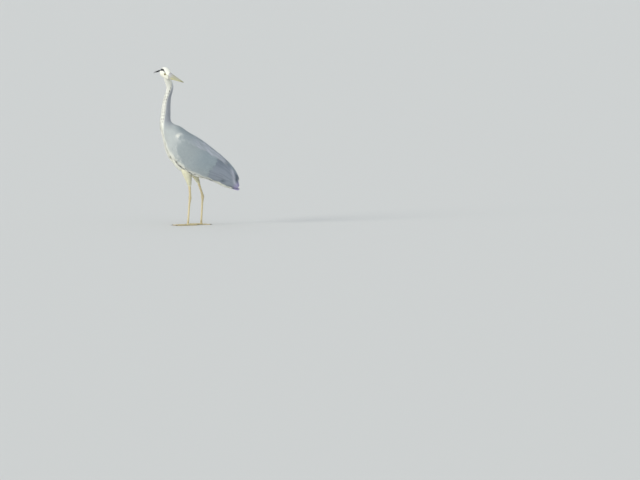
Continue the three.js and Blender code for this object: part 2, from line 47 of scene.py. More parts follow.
# The spine from the top of the neck to the wing tips, a station every 25 to 60 mm:
# x, y, z, depth to the back, depth to the breast, half width (mm) and twist to the left (degrees).
spine = np.array([
    [-178, -17, 826, 15.5, 15.5, 15.5, 122],
    [-167, -9, 797, 20, 20, 19, 96],
    [-156, -3, 765, 20, 20, 19.5, 70],
    [-159, 0, 735, 18, 18, 18, 52],
    [-167, 0, 706, 18.5, 18.5, 18.5, 43],
    [-173, 0, 676, 22, 21.5, 21, 38],
    [-176, 0, 646, 24, 24, 23, 36],
    [-178, 0, 616, 25.5, 25.5, 25, 33],
    [-180, 0, 586, 27.5, 28, 28, 28],
    [-178, 0, 557, 35, 31.5, 34, 18],
    [-168, 0, 528, 52, 39, 43, 10],
    [-148, 0, 498, 67.5, 55, 56, 3],
    [-114, 0, 461, 77.5, 85.5, 70, 0],
    [-71, 0, 418, 92, 103, 79, 0],
    [-23, 0, 378, 98, 113, 80, 0],
    [29, 0, 345, 93, 98, 77, 0],
    [82, 0, 316, 82, 82, 68, 0],
    [132, 0, 285, 69, 62.5, 56, 0],
    [175, 0, 249, 52, 46, 45, 0],
    [198, 0, 228, 35, 31, 35, 0],
    [216, 0, 209, 17.5, 17.5, 25, 0],
    [225, 0, 196, 9, 9, 16, 0],
], float)
spine[:, :6] *= mm

# The folded wing's upper and lower borders, in degrees round from the breast line.
wingBorders = np.array([
    [11.1, 112, 88], [11.5, 130, 70], [12, 139, 57], [13, 148, 44], [14, 154, 38], [15, 160, 36],
    [16, 168, 36], [17, 176, 37], [18, 178, 46], [19, 178, 60], [20, 178, 76], [20.9, 172, 90],
])

# The head in its own axes, +x to the bill, +y left, +z up: x, top, low, half width (mm).
headPlace = np.array([-173, -29, 838]) * mm
headTurn, headPitch = 46, 16
headStations = np.array([
    [-46.6, -2.7, -3.3, 0.3], [-45, 2, -8, 5], [-40, 12.5, -20.5, 12.5], [-29, 22, -28, 18.5],
    [-14, 27.3, -31, 20.5], [0, 26.5, -32.5, 20], [12, 22.8, -33, 18], [23, 17, -32, 15.3],
    [33, 10.8, -29.5, 12.8],
]) * mm

# The bill: x, culmen, meeting line, keel, half width (mm).
billStations = np.array([
    [33.3, 10.3, -9.5, -29, 12.4], [45, 7.8, -9.9, -26, 10.4], [65, 4.6, -10.1, -22, 7.9],
    [90, 0.7, -10.2, -18, 5.6], [115, -2.9, -10.2, -15.3, 3.9], [135, -5.9, -10.2, -13, 2.4],
    [148, -8.6, -10.3, -11.3, 1],
]) * mm

# Each leg from the body to the foot: x, y, z and half width (mm).
legStations = {
    "left": np.array([
        [-66, -32, 322, 27], [-62, -33, 292, 26], [-57, -34, 267, 20], [-52.5, -34, 246, 14],
        [-49, -34, 228, 10], [-47.5, -34, 214, 7.4], [-45.5, -34, 180, 6.2], [-45, -34, 163, 6.8],
        [-45, -34, 152, 8.4], [-46, -34, 140, 6.8], [-48.5, -34.5, 118, 5.2],
        [-53, -35, 60, 4.9], [-55.5, -35, 24, 5.4], [-56.5, -35, 12.4, 6.4],
    ]) * mm,
    "right": np.array([
        [-40, 32, 322, 27], [-32, 33, 295, 25], [-22, 34, 272, 18.5], [-13, 34, 256, 13],
        [-5, 34, 240, 9.4], [1, 34, 226, 7], [13, 34, 189, 6], [19.5, 34, 168, 6.8],
        [21.5, 34, 157, 8.4], [21.5, 34, 145, 6.8], [20, 34.5, 122, 5.2],
        [16.5, 35, 62, 4.9], [14.5, 35, 24, 5.4], [14, 35, 12.4, 6.4],
    ]) * mm,
}
# Toes: angle from straight ahead and place beside the foot's middle, both positive inwards.
toeSizes = {
    "inner": {"angle": 34, "root": 4.6, "length": 60, "wide": 4.1, "joints": 2},
    "middle": {"angle": 2, "root": 0, "length": 82, "wide": 4.3, "joints": 3},
    "outer": {"angle": -31, "root": -4.6, "length": 68, "wide": 4.1, "joints": 3},
    "hind": {"angle": 172, "root": 1, "length": 50, "wide": 4, "joints": 1},
}
sides = {"left": 1, "right": -1}
toeTaper, toeHeight = 0.68, 1.75  # width at the tip and height, as parts of the root's half width

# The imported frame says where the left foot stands, and everything else follows from it.
footLow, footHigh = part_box("foot_left")
footMiddle = np.array((footLow + footHigh) / 2)
shift = footMiddle * [1, 1, 0] - legStations["left"][-1, :3] * [1, 1, 0]


def rise(at, start, full):
    # smooth step from 0 to 1: 3t^2 - 2t^3
    t = np.clip((at - start) / (full - start), 0, 1)
    return t * t * (3 - 2 * t)


def bump(at, middle, reach):
    # bell curve: e^-((x - middle) / reach)^2
    return np.exp(-(((at - middle) / reach) ** 2))


def mix(a, b, t):
    return a + (b - a) * t


def paired(u, v):
    # two numbers or arrays as two arrays of one shape
    return np.broadcast_arrays(np.asarray(u, float), np.asarray(v, float))


def stacked(*parts):
    # parts of any shapes that fit together, side by side on a last axis
    return np.stack(np.broadcast_arrays(*parts), -1)


def turned(degrees):
    return np.cos(np.radians(degrees)), np.sin(np.radians(degrees))


def ringAngles(count, start=0, end=2 * math.pi):
    # a row of angles evenly round a ring
    return np.linspace(start, end, count + 1)[None, :-1]


def rotated(points, angle):
    # x and y turned about z
    c, s = math.cos(angle), math.sin(angle)
    return points[..., 0] * c - points[..., 1] * s, points[..., 0] * s + points[..., 1] * c


def curve(places, values, at):
    # cubic through the stations; the slope at each is the chord between its two neighbours
    places = np.asarray(places, float)
    k = np.arange(len(places))
    before, after = np.maximum(k - 1, 0), np.minimum(k + 1, len(places) - 1)
    slopes = (values[after] - values[before]) / (places[after] - places[before])[:, None]
    at = np.asarray(at, float)
    i = np.clip(np.searchsorted(places, at, side="right") - 1, 0, len(places) - 2)
    width = (places[i + 1] - places[i])[..., None]
    t = np.clip((at[..., None] - places[i][..., None]) / width, 0, 1)
    t2, t3 = t * t, t * t * t
    start, end = values[i], values[i + 1]
    pull = (t3 - 2 * t2 + t) * slopes[i] * width + (t3 - t2) * slopes[i + 1] * width
    return (2 * t3 - 3 * t2 + 1) * start + (3 * t2 - 2 * t3) * end + pull


def stations(table, at):
    # the table's rows are places 0, 1, 2 and so on
    return curve(np.arange(len(table)), table, at)


def waves(points, size):
    # slow swell over the body, from -1 to 1: the mean of three sines of the place along slanting lines
    slants = np.array([[1.0, -0.5, 0.3], [0.4, 1.1, -0.8], [0.7, 0.6, 1.2]])
    return np.sin(points @ slants.T / size + [0, 2, 4]).mean(-1)


def unit(vectors):
    return vectors / np.maximum(np.linalg.norm(vectors, axis=-1, keepdims=True), 1e-12)


def spineFrame(at):
    # centre and sizes from the stations; back is square to the path in the XZ plane, left is
    # path x back, and both are turned about the path by the twist
    step = 0.05
    shape = stations(spine, at)
    ahead, behind = np.minimum(at + step, len(spine) - 1), np.maximum(at - step, 0)
    tangent = unit(stations(spine, ahead)[..., :3] - stations(spine, behind)[..., :3])
    back = unit(stacked(-tangent[..., 2], 0, tangent[..., 0]))
    left = np.cross(tangent, back)
    c, s = turned(shape[..., 6:7])
    return shape, back * c - left * s, left * c + back * s


bellySquare = 0.55  # 0 is an ellipse
bellyDrawnIn = 9 * mm
rumpThick, rumpSide, rumpFrom, trunkEnd = 13 * mm, 25 * mm, 15.6, 18.4


def bodyPoint(at, around, inset=0.0, rump=False):
    # P = centre - cos^p(a) * deep * back + sin^p(a) * side * left, p = 2 / (2 + square)
    at, around = paired(at, around)
    shape, back, left = spineFrame(at)
    c, s = turned(around)
    power = 2 / (2 + np.where(c > 0, bellySquare * rise(at, 13.5, 15.5), 0))
    deep = np.where(c > 0, shape[..., 4], shape[..., 3]) - inset
    side = shape[..., 5] - inset
    offset = -np.sign(c) * np.abs(c) ** power * deep
    across = np.sign(s) * np.abs(s) ** power * side
    if rump:
        shrink = rise(at, rumpFrom, trunkEnd)
        low = shape[..., 4] - inset - rumpThick
        offset = mix(offset, offset * (rumpThick / deep) - low, shrink)
        across = mix(across, across * (rumpSide / side), shrink)
    return shape[..., :3] + offset[..., None] * back + across[..., None] * left + shift


def wingAngle(at, across):
    borders = curve(wingBorders[:, 0], wingBorders[:, 1:], np.clip(at, *wingBorders[[0, -1], 0]))
    return mix(borders[..., 1], borders[..., 0], across)


def bellyHollow(at, around, inner, outer):
    # how far the belly is drawn in between the wings' low borders
    deep = bellyDrawnIn * rise(at, 13.2, 14.7) * (1 - rise(at, 16, 17.5))
    return deep * (1 - rise(np.abs(around), inner, outer))


def trunkPoint(at, around):
    # the trunk's own outline: drawn in between the wings, shrunk to the tail's root
    low = wingAngle(at, 0.0)
    return bodyPoint(at, around, bellyHollow(at, around, low - 8, low + 3), rump=True)


class Surface:
    # a shape of two parameters; toward is the way that feathers lie along the first one
    def __init__(self, point, stepU, stepV, outward=1, toward=1):
        self.point, self.stepU, self.stepV = point, stepU, stepV
        self.outward, self.toward = outward, toward

    def measure(self, u, v):
        # central differences: the normal is their cross product, the lengths are the scales
        along = (self.point(u + self.stepU, v) - self.point(u - self.stepU, v)) / (2 * self.stepU)
        across = (self.point(u, v + self.stepV) - self.point(u, v - self.stepV)) / (2 * self.stepV)
        normal = unit(np.cross(along, across)) * self.outward
        scaleU = np.maximum(np.linalg.norm(along, axis=-1), 1e-4)
        scaleV = np.maximum(np.linalg.norm(across, axis=-1), 1e-5)
        return normal, scaleU, scaleV


neckSkin = Surface(lambda u, v: bodyPoint(u, v), 0.02, 0.5)
trunkSkin = Surface(trunkPoint, 0.02, 0.5)


def wingSurface(hand):
    return Surface(lambda u, v: bodyPoint(u, hand * wingAngle(u, v)), 0.02, 0.005, outward=hand)


turnCos, turnSin = math.cos(math.radians(headTurn)), math.sin(math.radians(headTurn))
pitchCos, pitchSin = math.cos(math.radians(headPitch)), math.sin(math.radians(headPitch))
headAxes = np.array([
    [turnCos * pitchCos, -turnSin * pitchCos, -pitchSin],
    [turnSin, turnCos, 0],
    [turnCos * pitchSin, -turnSin * pitchSin, pitchCos],
])


def fromHead(points):
    return points @ headAxes + headPlace + shift


def headRing(at, around, inset=0.0):
    # y = cos(a) * side, z between low and top by (sin(a) + 1) / 2
    at, around = paired(at, around)
    shape = stations(headStations, at)
    c, s = turned(around)
    low, top = shape[..., 2] + inset, shape[..., 1] - inset
    return stacked(shape[..., 0], (shape[..., 3] - inset) * c, mix(low, top, (s + 1) / 2))


def legPoint(side, at, around, inset=0.0):
    # P = centre + cos(a) * wide along x + sin(a) * wide / deepness along y
    at, around = paired(at, around)
    shape = stations(legStations[side], at)
    deepness = mix(1.4, 1.12, np.clip(at / 4, 0, 1))
    wide = shape[..., 3] - inset
    c, s = turned(around)
    return shape[..., :3] + stacked(c * wide, s * wide / deepness, 0) + shift


def legSurface(side):
    return Surface(lambda u, v: legPoint(side, u, v), 0.02, 0.5, outward=-1)


def paint(red, green, blue):
    # display colour (0 to 255) to linear light
    c = np.array([red, green, blue]) / 255
    return np.where(c <= 0.04045, c / 12.92, ((c + 0.055) / 1.055) ** 2.4)


def blend(under, over, amount):
    return under + (over - under) * np.asarray(amount)[..., None]


def layered(tone, *layers):
    # named colours laid one over another, each by its own amount
    for name, amount in layers:
        tone = blend(tone, tones[name], amount)
    return tone


# The plumage's colours, before the light falls on them.
tones = {name: paint(*colour) for name, colour in {
    "white": (246, 246, 236),
    "cream": (236, 232, 208),
    "neckPale": (238, 241, 242),
    "neckGrey": (172, 176, 182),
    "shoulder": (192, 198, 197),
    "covert": (162, 171, 174),
    "wing": (150, 162, 168),
    "mantle": (152, 162, 166),
    "plume": (196, 198, 208),
    "slate": (92, 103, 114),
    "flight": (143, 151, 162),
    # a lilac painted as a highlight on the wing's tip and the tail's end
    "paintedLilacHighlight": (166, 158, 194),
    "black": (38, 39, 44),
    "belly": (240, 240, 228),
    "thigh": (236, 233, 206),
}.items()}


def bodyTone(at, around, chance):
    # white front, grey sides and back; black streaks in rows down the foreneck; a black line along
    # the flank, partly the bird's own black flank band and partly painted shade under the wing's low border
    a = np.abs(around)
    frontEdge = mix(50, 38, rise(at, 9, 11)) + 40 * (1 - rise(at, -0.5, 3))
    flank = rise(at, 12.6, 13.4) * (1 - rise(at, 16.6, 17.6))
    # the line widens at 14.15 into a painted shade patch where the thigh meets the wing
    flankBandAndShadeWide = mix(4.5, 8, rise(at, 13.4, 14.2)) + 9 * bump(at, 14.15, 0.2)
    flankBandAndShade = flank * bump(a, 36 + 3 * chance, flankBandAndShadeWide) * (np.mod(chance * 5.7, 1) > 0.25)
    row = bump(a, mix(41, 27, rise(at, 7, 11.5)), 4.5) * rise(at, 1.5, 3) * (1 - rise(at, 12.4, 13.2))
    inner = bump(a, 13, 5) * rise(at, 2.5, 4) * (1 - rise(at, 11.5, 12.5))
    patchy = rise(np.sin(at * 11.0 + np.sign(around)) + 0.6 * np.sin(at * 27.0), -0.2, 0.4)
    streak = np.maximum(row, inner * 0.7) * patchy * (np.mod(chance * 7.3, 1) > 0.2)
    return layered(
        tones["neckGrey"],
        ("shoulder", rise(at, 8, 10.5)),
        ("neckPale", 1 - rise(at, 0.5, 4)),
        ("mantle", rise(a, 100, 150) * rise(at, 9.5, 11.5)),
        ("white", 1 - rise(a + 8 * (chance - 0.5), frontEdge - 5, frontEdge + 12)),
        ("belly", rise(at, 12, 13.2) * (1 - rise(a, 40, 60))),
        # the black flank band, with painted shade under the wing's low border and behind the thigh
        ("black", flankBandAndShade),
        ("black", np.clip(streak * 2.0, 0, 0.94)),
        ("belly", rise(at, 16.2, 17.4) * (1 - rise(a, 50, 80))),
        ("wing", rise(at, 16, 17.5) * rise(a, 70, 100)),
    )


def wingTone(at, across, chance):
    # pale shoulder, greyer to the middle, painted shade just under the scapulars, pale along the low border
    return layered(
        tones["shoulder"],
        ("covert", rise(at, 11.4, 12.7)),
        ("wing", rise(at, 13.5, 15) * rise(across, 0.1, 0.5)),
        ("white", bump(at, 11.6, 0.26) * bump(across, 0.64, 0.2)),
        # painted shade: a slate band where the scapulars overhang the wing
        ("slate", 0.35 * bump(across, 0.86, 0.08) * rise(at, 13, 14.5)),
        ("white", 0.85 * (1 - rise(across, 0.02, 0.15)) * rise(at, 13.2, 14.2)),
    )


def quillTone(at, across, chance):
    # grey, darker behind the coverts; a pale streak and a dark one slant over the wing's end, whose
    # tip carries a painted lilac highlight
    along = np.clip((at - 17.4) / 1.3, -0.2, 1.2)
    ends = rise(at, 17.2, 17.6)
    return layered(
        tones["wing"],
        ("flight", rise(at, 15.4, 16.3)),
        ("slate", 0.5 * bump(at, 16.4, 0.5) * bump(across, 0.7, 0.2)),
        ("white", 0.8 * (1 - rise(across, 0.02, 0.12)) * (1 - rise(at, 15.8, 16.6))),
        ("plume", 0.75 * ends * bump(across, mix(0.76, 0.4, along), 0.09)),
        ("slate", 0.9 * rise(at, 17.6, 18) * bump(across, mix(0.97, 0.66, along), 0.09)),
        ("slate", 0.85 * bump(at, 17.5, 0.2) * bump(across, 0.15, 0.09)),
        # painted highlight: a lilac sheen over the wing's tip
        ("paintedLilacHighlight", 0.85 * rise(at, 18.8, 19.8)),
    )


def headTone(points, chance):
    # white face and crown, black from above the eye to the nape, a fine line of painted shade along the
    # gape
    x, y, z = points[..., 0] / mm, np.abs(points[..., 1]) / mm, points[..., 2] / mm
    line = mix(13, 5.5, rise(x, -8, -46)) - 9 * rise(x, -10, 10)
    reach = mix(2.0, 6.4, rise(x, 8, -22))
    apart = np.maximum(rise(y, 1.5, 5), rise(x, -36, -42))
    stripe = rise(x, 13, 7) * (1 - rise(np.abs(z - line), reach - 1.2, reach + 1.2)) * apart
    return layered(
        tones["white"],
        ("cream", rise(-z, 0, 18) * 0.35),
        # painted shade: a grey line along the gape's crease
        ("neckGrey", bump(z, -10.5, 0.8) * rise(x, 8, 15) * 0.35),
        ("black", np.clip(stripe, 0, 1) * 0.97),
    )


def placed(name, data):
    made = bpy.data.objects.new(name, data)
    bpy.context.scene.collection.objects.link(made)
    return made


def meshObject(name, points, triangles):
    mesh = bpy.data.meshes.new(name)
    mesh.vertices.add(len(points))
    mesh.vertices.foreach_set("co", np.ascontiguousarray(points, np.float32).ravel())
    mesh.loops.add(triangles.size)
    mesh.loops.foreach_set("vertex_index", np.ascontiguousarray(triangles, np.int32).ravel())
    mesh.polygons.add(len(triangles))
    mesh.polygons.foreach_set("loop_start", np.arange(0, triangles.size, 3, dtype=np.int32))
    mesh.update(calc_edges=True)
    mesh.polygons.foreach_set("use_smooth", np.full(len(triangles), True))
    return placed(name, mesh)


valueKeys = {"FLOAT": "value", "BOOLEAN": "value", "FLOAT_VECTOR": "vector", "FLOAT_COLOR": "color"}


def setValues(made, name, kind, values, domain="POINT"):
    layer = made.data.attributes.new(name, kind, domain)
    number = bool if kind == "BOOLEAN" else np.float32
    layer.data.foreach_set(valueKeys[kind], np.ascontiguousarray(values, number).ravel())


def setTone(made, colours):
    setValues(made, "tone", "FLOAT_COLOR", np.concatenate([colours, np.ones((len(colours), 1))], 1))


def readValues(collection, key, width=1, number=np.int32):
    found = np.empty(len(collection) * width, number)
    collection.foreach_get(key, found)
    return found


def setMap(made, perPoint, name):
    layer = made.data.uv_layers.new(name=name, do_init=False)
    corners = readValues(made.data.loops, "vertex_index")
    layer.uv.foreach_set("vector", np.ascontiguousarray(perPoint[corners], np.float32).ravel())


def ringTriangles(rows, columns):
    # rows x columns points closed round each row, then one middle point at each end
    i, j = np.meshgrid(np.arange(rows - 1), np.arange(columns), indexing="ij")
    a, b = i * columns + j, i * columns + (j + 1) % columns
    walls = np.concatenate([stacked(a, b, b + columns), stacked(a, b + columns, a + columns)])
    k = np.arange(columns)
    n = (k + 1) % columns
    start = rows * columns
    last = start - columns
    ends = [stacked(start, n, k), stacked(start + 1, last + k, last + n)]
    return np.concatenate([walls.reshape(-1, 3), *ends])


def closedLoft(grid):
    # a tube of rings with its two ends closed; its faces are turned outwards by its volume's sign
    rows, columns = grid.shape[:2]
    points = np.concatenate([grid.reshape(-1, 3), [grid[0].mean(0), grid[-1].mean(0)]])
    triangles = ringTriangles(rows, columns)
    a, b, c = (points[triangles[:, k]] - points.mean(0) for k in range(3))
    if np.einsum("ij,ij->", a, np.cross(b, c)) < 0:
        triangles = triangles[:, ::-1]
    return points, triangles


def capped(values):
    # values per grid point, with a mean for each end's middle point
    return np.concatenate([values.reshape(-1, values.shape[-1]), [values[0].mean(0), values[-1].mean(0)]])


def tinted(grid, colours):
    # a closed tube and the colours of its points
    return closedLoft(grid), capped(colours)


def joined(parts):
    # several (points, triangles) as one
    points, triangles, count = [], [], 0
    for p, t in parts:
        points.append(p)
        triangles.append(t + count)
        count += len(p)
    return np.concatenate(points), np.concatenate(triangles)


def vaneTriangles(rows, columns, flat):
    # a closed sliver: root point, rings of top columns and inner bottom columns, tip point
    ring = columns if flat else 2 * columns - 2
    j = np.arange(ring)
    n = (j + 1) % ring
    walls = []
    for start in 1 + ring * np.arange(rows - 3):
        a, b = start + j, start + n
        walls += [stacked(a, a + ring, b + ring), stacked(a, b + ring, b)]
    last = 1 + (rows - 3) * ring
    triangles = np.concatenate([stacked(0, 1 + j, 1 + n), *walls, stacked(last + j, last + ring, last + n)])
    return triangles, np.tile(j >= columns - 1, len(triangles) // ring)


# What every kind of feather starts from: rows along it and columns across; crowd brings rows
# together at the tip; lean, scatter, ruffle and curl turn it (radians); base, swell and stagger
# raise it; roll and camber tilt and bend it across; soft draws its shading to the body's.
featherLook = {"rows": 6, "columns": 3, "flat": True, "crowd": 1.35, "lean": 0, "scatter": 0.06,
               "ruffle": 0, "curl": 0, "curlSpread": 0.05, "fray": 0, "roll": 0.08, "rollSpread": 0.025,
               "base": 0, "swell": 0, "stagger": 0.1 * mm, "camber": 0.12, "soft": 0.5,
               "perPoint": False, "toneAt": 0.72, "lift": 0.1 * mm}
bakePatch, bakeEdge = 0.0014, 0.003  # a feather's patch and the border, as parts of the bake map


def vanes(surface, u, v, length, half, look, tone, rng):
    # each feather's midrib is marched over the surface row by row, and its columns are set out
    # square to it by w * half * outline(s); height = mix(lift, -sink, (1 - s)^2)
    # + base * s^0.5 + roll * w - camber * w^2 + thick * (1 - |w|)^1.5
    look = dict(featherLook, **look)
    count, rows, columns, thick = len(u), look["rows"], look["columns"], look["thick"]
    s = 1 - (1 - np.linspace(0, 1, rows)) ** look["crowd"]
    w = np.linspace(-1, 1, columns)
    down, beside = s[:, None], np.abs(w)
    length, half = np.broadcast_to(length, count), np.broadcast_to(half, count)
    place = surface.point(u, v)
    lean = look["lean"] + rng.normal(0, look["scatter"], count)
    lean = lean + look["ruffle"] * waves(place, 9 * mm)
    curl = look["curl"] + rng.normal(0, look["curlSpread"], count)
    walked = []
    for i, step in enumerate(np.append(np.diff(s), 0)):
        scaleU, scaleV = surface.measure(u, v)[1:]
        heading = lean + curl * s[i]
        walked.append((u, v, heading, scaleU, scaleV))
        u = u + surface.toward * np.cos(heading) * (step * length) / scaleU
        v = v + np.sin(heading) * (step * length) / scaleV
    pathU, pathV, heading, scaleU, scaleV = (np.stack(x, 1)[..., None] for x in zip(*walked))
    a, b = look["outline"]
    peak = (a / (a + b)) ** a * (b / (a + b)) ** b
    reach = w * (half[:, None] * (s**a * (1 - s) ** b / peak))[..., None]
    frayed = look["fray"] * rise(down, 0.35, 0.7) * beside
    reach = reach * (1 - frayed * rng.random(reach.shape))
    gridU = pathU - surface.toward * np.sin(heading) * reach / scaleU
    gridV = pathV + np.cos(heading) * reach / scaleV
    normal = surface.measure(gridU, gridV)[0]
    roll = look["roll"] + rng.normal(0, look["rollSpread"], count)
    base = look["base"] + look["swell"] * waves(place, 14 * mm)
    base = base + rng.normal(0, look["stagger"], count)
    chance = rng.random(count)
    roll, base, wide, each = (x[:, None, None] for x in (roll, base, half, chance))
    height = mix(look["lift"], -look["sink"], (1 - down) ** 2) + base * down**0.5
    height = height + roll * reach - look["camber"] * reach**2 / wide + thick * (1 - beside) ** 1.5
    top = surface.point(gridU, gridV) + normal * height[..., None]
    facing = unit(np.cross(np.gradient(top, axis=1), np.gradient(top, axis=2)))
    facing = facing * np.sign(np.sum(facing * normal, -1, keepdims=True))
    if look["perPoint"]:
        colour = tone(gridU, gridV, each + 0 * gridU)
    else:
        seen = int(rows * look["toneAt"])
        colour = tone(pathU[:, seen, 0], pathV[:, seen, 0], chance)[:, None, None]

    def ringed(values, below=None):
        # the root, the rows between, each with its underside, and the tip
        values = np.broadcast_to(values, reach.shape + values.shape[-1:])
        below = values if below is None else below
        ring = values[:, 1:-1]
        if not look["flat"]:
            ring = np.concatenate([ring, below[:, 1:-1, columns - 2:0:-1]], 2)
        root, tip = values[:, :1, columns // 2], values[:, -1:, columns // 2]
        return np.concatenate([root, ring.reshape(count, -1, values.shape[-1]), tip], 1)

    triangles, under = vaneTriangles(rows, columns, look["flat"])
    if surface.outward * surface.toward < 0:
        triangles = triangles[:, ::-1]
    deep = thick * (0.35 + 0.9 * (1 - beside))[:, None]
    fields = {
        "points": ringed(top, top - normal * deep),
        "facing": ringed(unit(mix(facing, normal, look["soft"]))),
        "tone": ringed(colour),
        "vane": ringed(stacked(reach / mm, down * length[:, None, None] / mm, each)),
        "edge": ringed(np.maximum(beside, down**2.5)[..., None]),
        "patch": ringed(stacked(w, 2 * down - 1) * bakePatch),
    }
    size = fields["points"].shape[1]
    many = triangles[None] + (np.arange(count) * size)[:, None, None]
    found = {key: values.reshape(-1, values.shape[-1]) for key, values in fields.items()}
    return dict(found, triangles=many.reshape(-1, 3), under=np.tile(under, count),
                size=np.full(count, size), spot=stacked(pathU[:, 0, 0], pathV[:, 0, 0]))


def rootsOver(surface, reach, sector, pitch, spread, rng, jitter, change=(0, 1), close=1):
    # rows one pitch apart along the surface; in each the roots are evenly spread, every other
    # row half a place on, and all are then moved a little at random; pitch and spread (mm) go
    # from their first number to their second over the change
    foundU, foundV = [], []
    (u, end), odd, samples = reach, 0, 60
    sign = 1 if end > u else -1
    while sign * (end - u) > 0:
        apart, beside = (close * mix(*pair, rise(u, *change)) * mm for pair in (pitch, spread))
        v = np.linspace(*sector, samples)
        row = surface.point(np.full(samples, u), v)
        walked = np.concatenate([[0], np.cumsum(np.linalg.norm(np.diff(row, axis=0), axis=1))])
        count = max(int(round(walked[-1] / beside)), 1)
        places = (np.arange(count) + 0.5 * odd + 0.25) / count * walked[-1]
        places = np.clip(places + rng.normal(0, jitter * 0.4, count) * beside, 0, walked[-1])
        foundV.append(np.interp(places, walked, v))
        scale = surface.measure(np.full(samples, u), v)[1].mean()
        foundU.append(u + rng.normal(0, jitter * 0.5, count) * apart / scale)
        u += sign * apart / scale
        odd = 1 - odd
    return np.concatenate(foundU), np.concatenate(foundV)


triangleCount = {}


def sharpenRims(made, under):
    # an edge between one face on top and one underneath is sharp
    edges = readValues(made.data.loops, "edge_index")
    setValues(made, "sharp_edge", "BOOLEAN", np.bincount(edges, np.repeat(under, 3)) == 1, "EDGE")


def coatPiece(name, batches, material, slot, replaced=()):
    # one joined mesh of many vanes with their colours, vane places and bake map
    whole = {key: np.concatenate([batch[key] for batch in batches]) for key in batches[0]}
    points, triangles = joined([(batch["points"], batch["triangles"]) for batch in batches])
    made = meshObject(name, points, triangles)
    facing = whole["facing"][triangles] * np.where(whole["under"], -1, 1)[:, None, None]
    setValues(made, "custom_normal", "FLOAT_VECTOR", facing, "CORNER")
    sharpenRims(made, whole["under"])
    setTone(made, whole["tone"])
    setValues(made, "vane", "FLOAT_VECTOR", whole["vane"])
    setValues(made, "edge", "FLOAT", whole["edge"])
    low, high = whole["spot"].min(0), whole["spot"].max(0)
    spots = bakeEdge + (whole["spot"] - low) / np.maximum(high - low, 1e-9) * (1 - 2 * bakeEdge)
    setMap(made, np.repeat(spots, whole["size"], axis=0) + whole["patch"], "OFBake")
    finishPiece(made, material, slot, replaced)
    triangleCount[name] = len(triangles)
    print(f"stage: {name} {len(spots)} feathers, {len(triangles)} triangles")


def finishPiece(made, material, slot, replaced=()):
    made.data.materials.append(material)
    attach(made, "root")
    if replaced:
        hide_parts(*replaced)


def tintedPiece(name, shape, colours, *finish):
    made = meshObject(name, *shape)
    setTone(made, colours)
    finishPiece(made, *finish)


def feed(tree, node, values):
    # another node's output is linked to the input, and a number or colour is set on it
    for key, value in values.items():
        if isinstance(value, bpy.types.NodeSocket):
            tree.links.new(value, node.inputs[key])
        else:
            node.inputs[key].default_value = value


def addNode(tree, kind, values=None, **settings):
    made = tree.nodes.new(kind)
    for key, value in settings.items():
        setattr(made, key, value)
    feed(tree, made, values or {})
    return made


def mathNode(tree, operation, *values):
    return addNode(tree, "ShaderNodeMath", dict(enumerate(values)), operation=operation).outputs[0]


def mixColour(tree, factor, first, second):
    values = {0: factor, 6: first, 7: second}
    return addNode(tree, "ShaderNodeMix", values, data_type="RGBA").outputs[2]


def scaleColour(tree, colour, factor):
    values = {0: colour, "Scale": factor}
    return addNode(tree, "ShaderNodeVectorMath", values, operation="SCALE").outputs[0]


def smoothRange(tree, value, low, high, toLow=0.0, toHigh=1.0):
    values = dict(enumerate((value, low, high, toLow, toHigh)))
    return addNode(tree, "ShaderNodeMapRange", values, interpolation_type="SMOOTHSTEP").outputs[0]


def makeGroup(name, inputs, outputs):
    # four numbers make a colour input, one makes a float and none a vector
    group = bpy.data.node_groups.new(name, "ShaderNodeTree")
    for label, value in inputs.items():
        kind = {tuple: "Color", float: "Float"}.get(type(value), "Vector")
        socket = group.interface.new_socket(name=label, in_out="INPUT", socket_type="NodeSocket" + kind)
        if value is not None:
            socket.default_value = value
    for label, kind in outputs.items():
        group.interface.new_socket(name=label, in_out="OUTPUT", socket_type="NodeSocket" + kind)
    return group, addNode(group, "NodeGroupInput").outputs, addNode(group, "NodeGroupOutput")


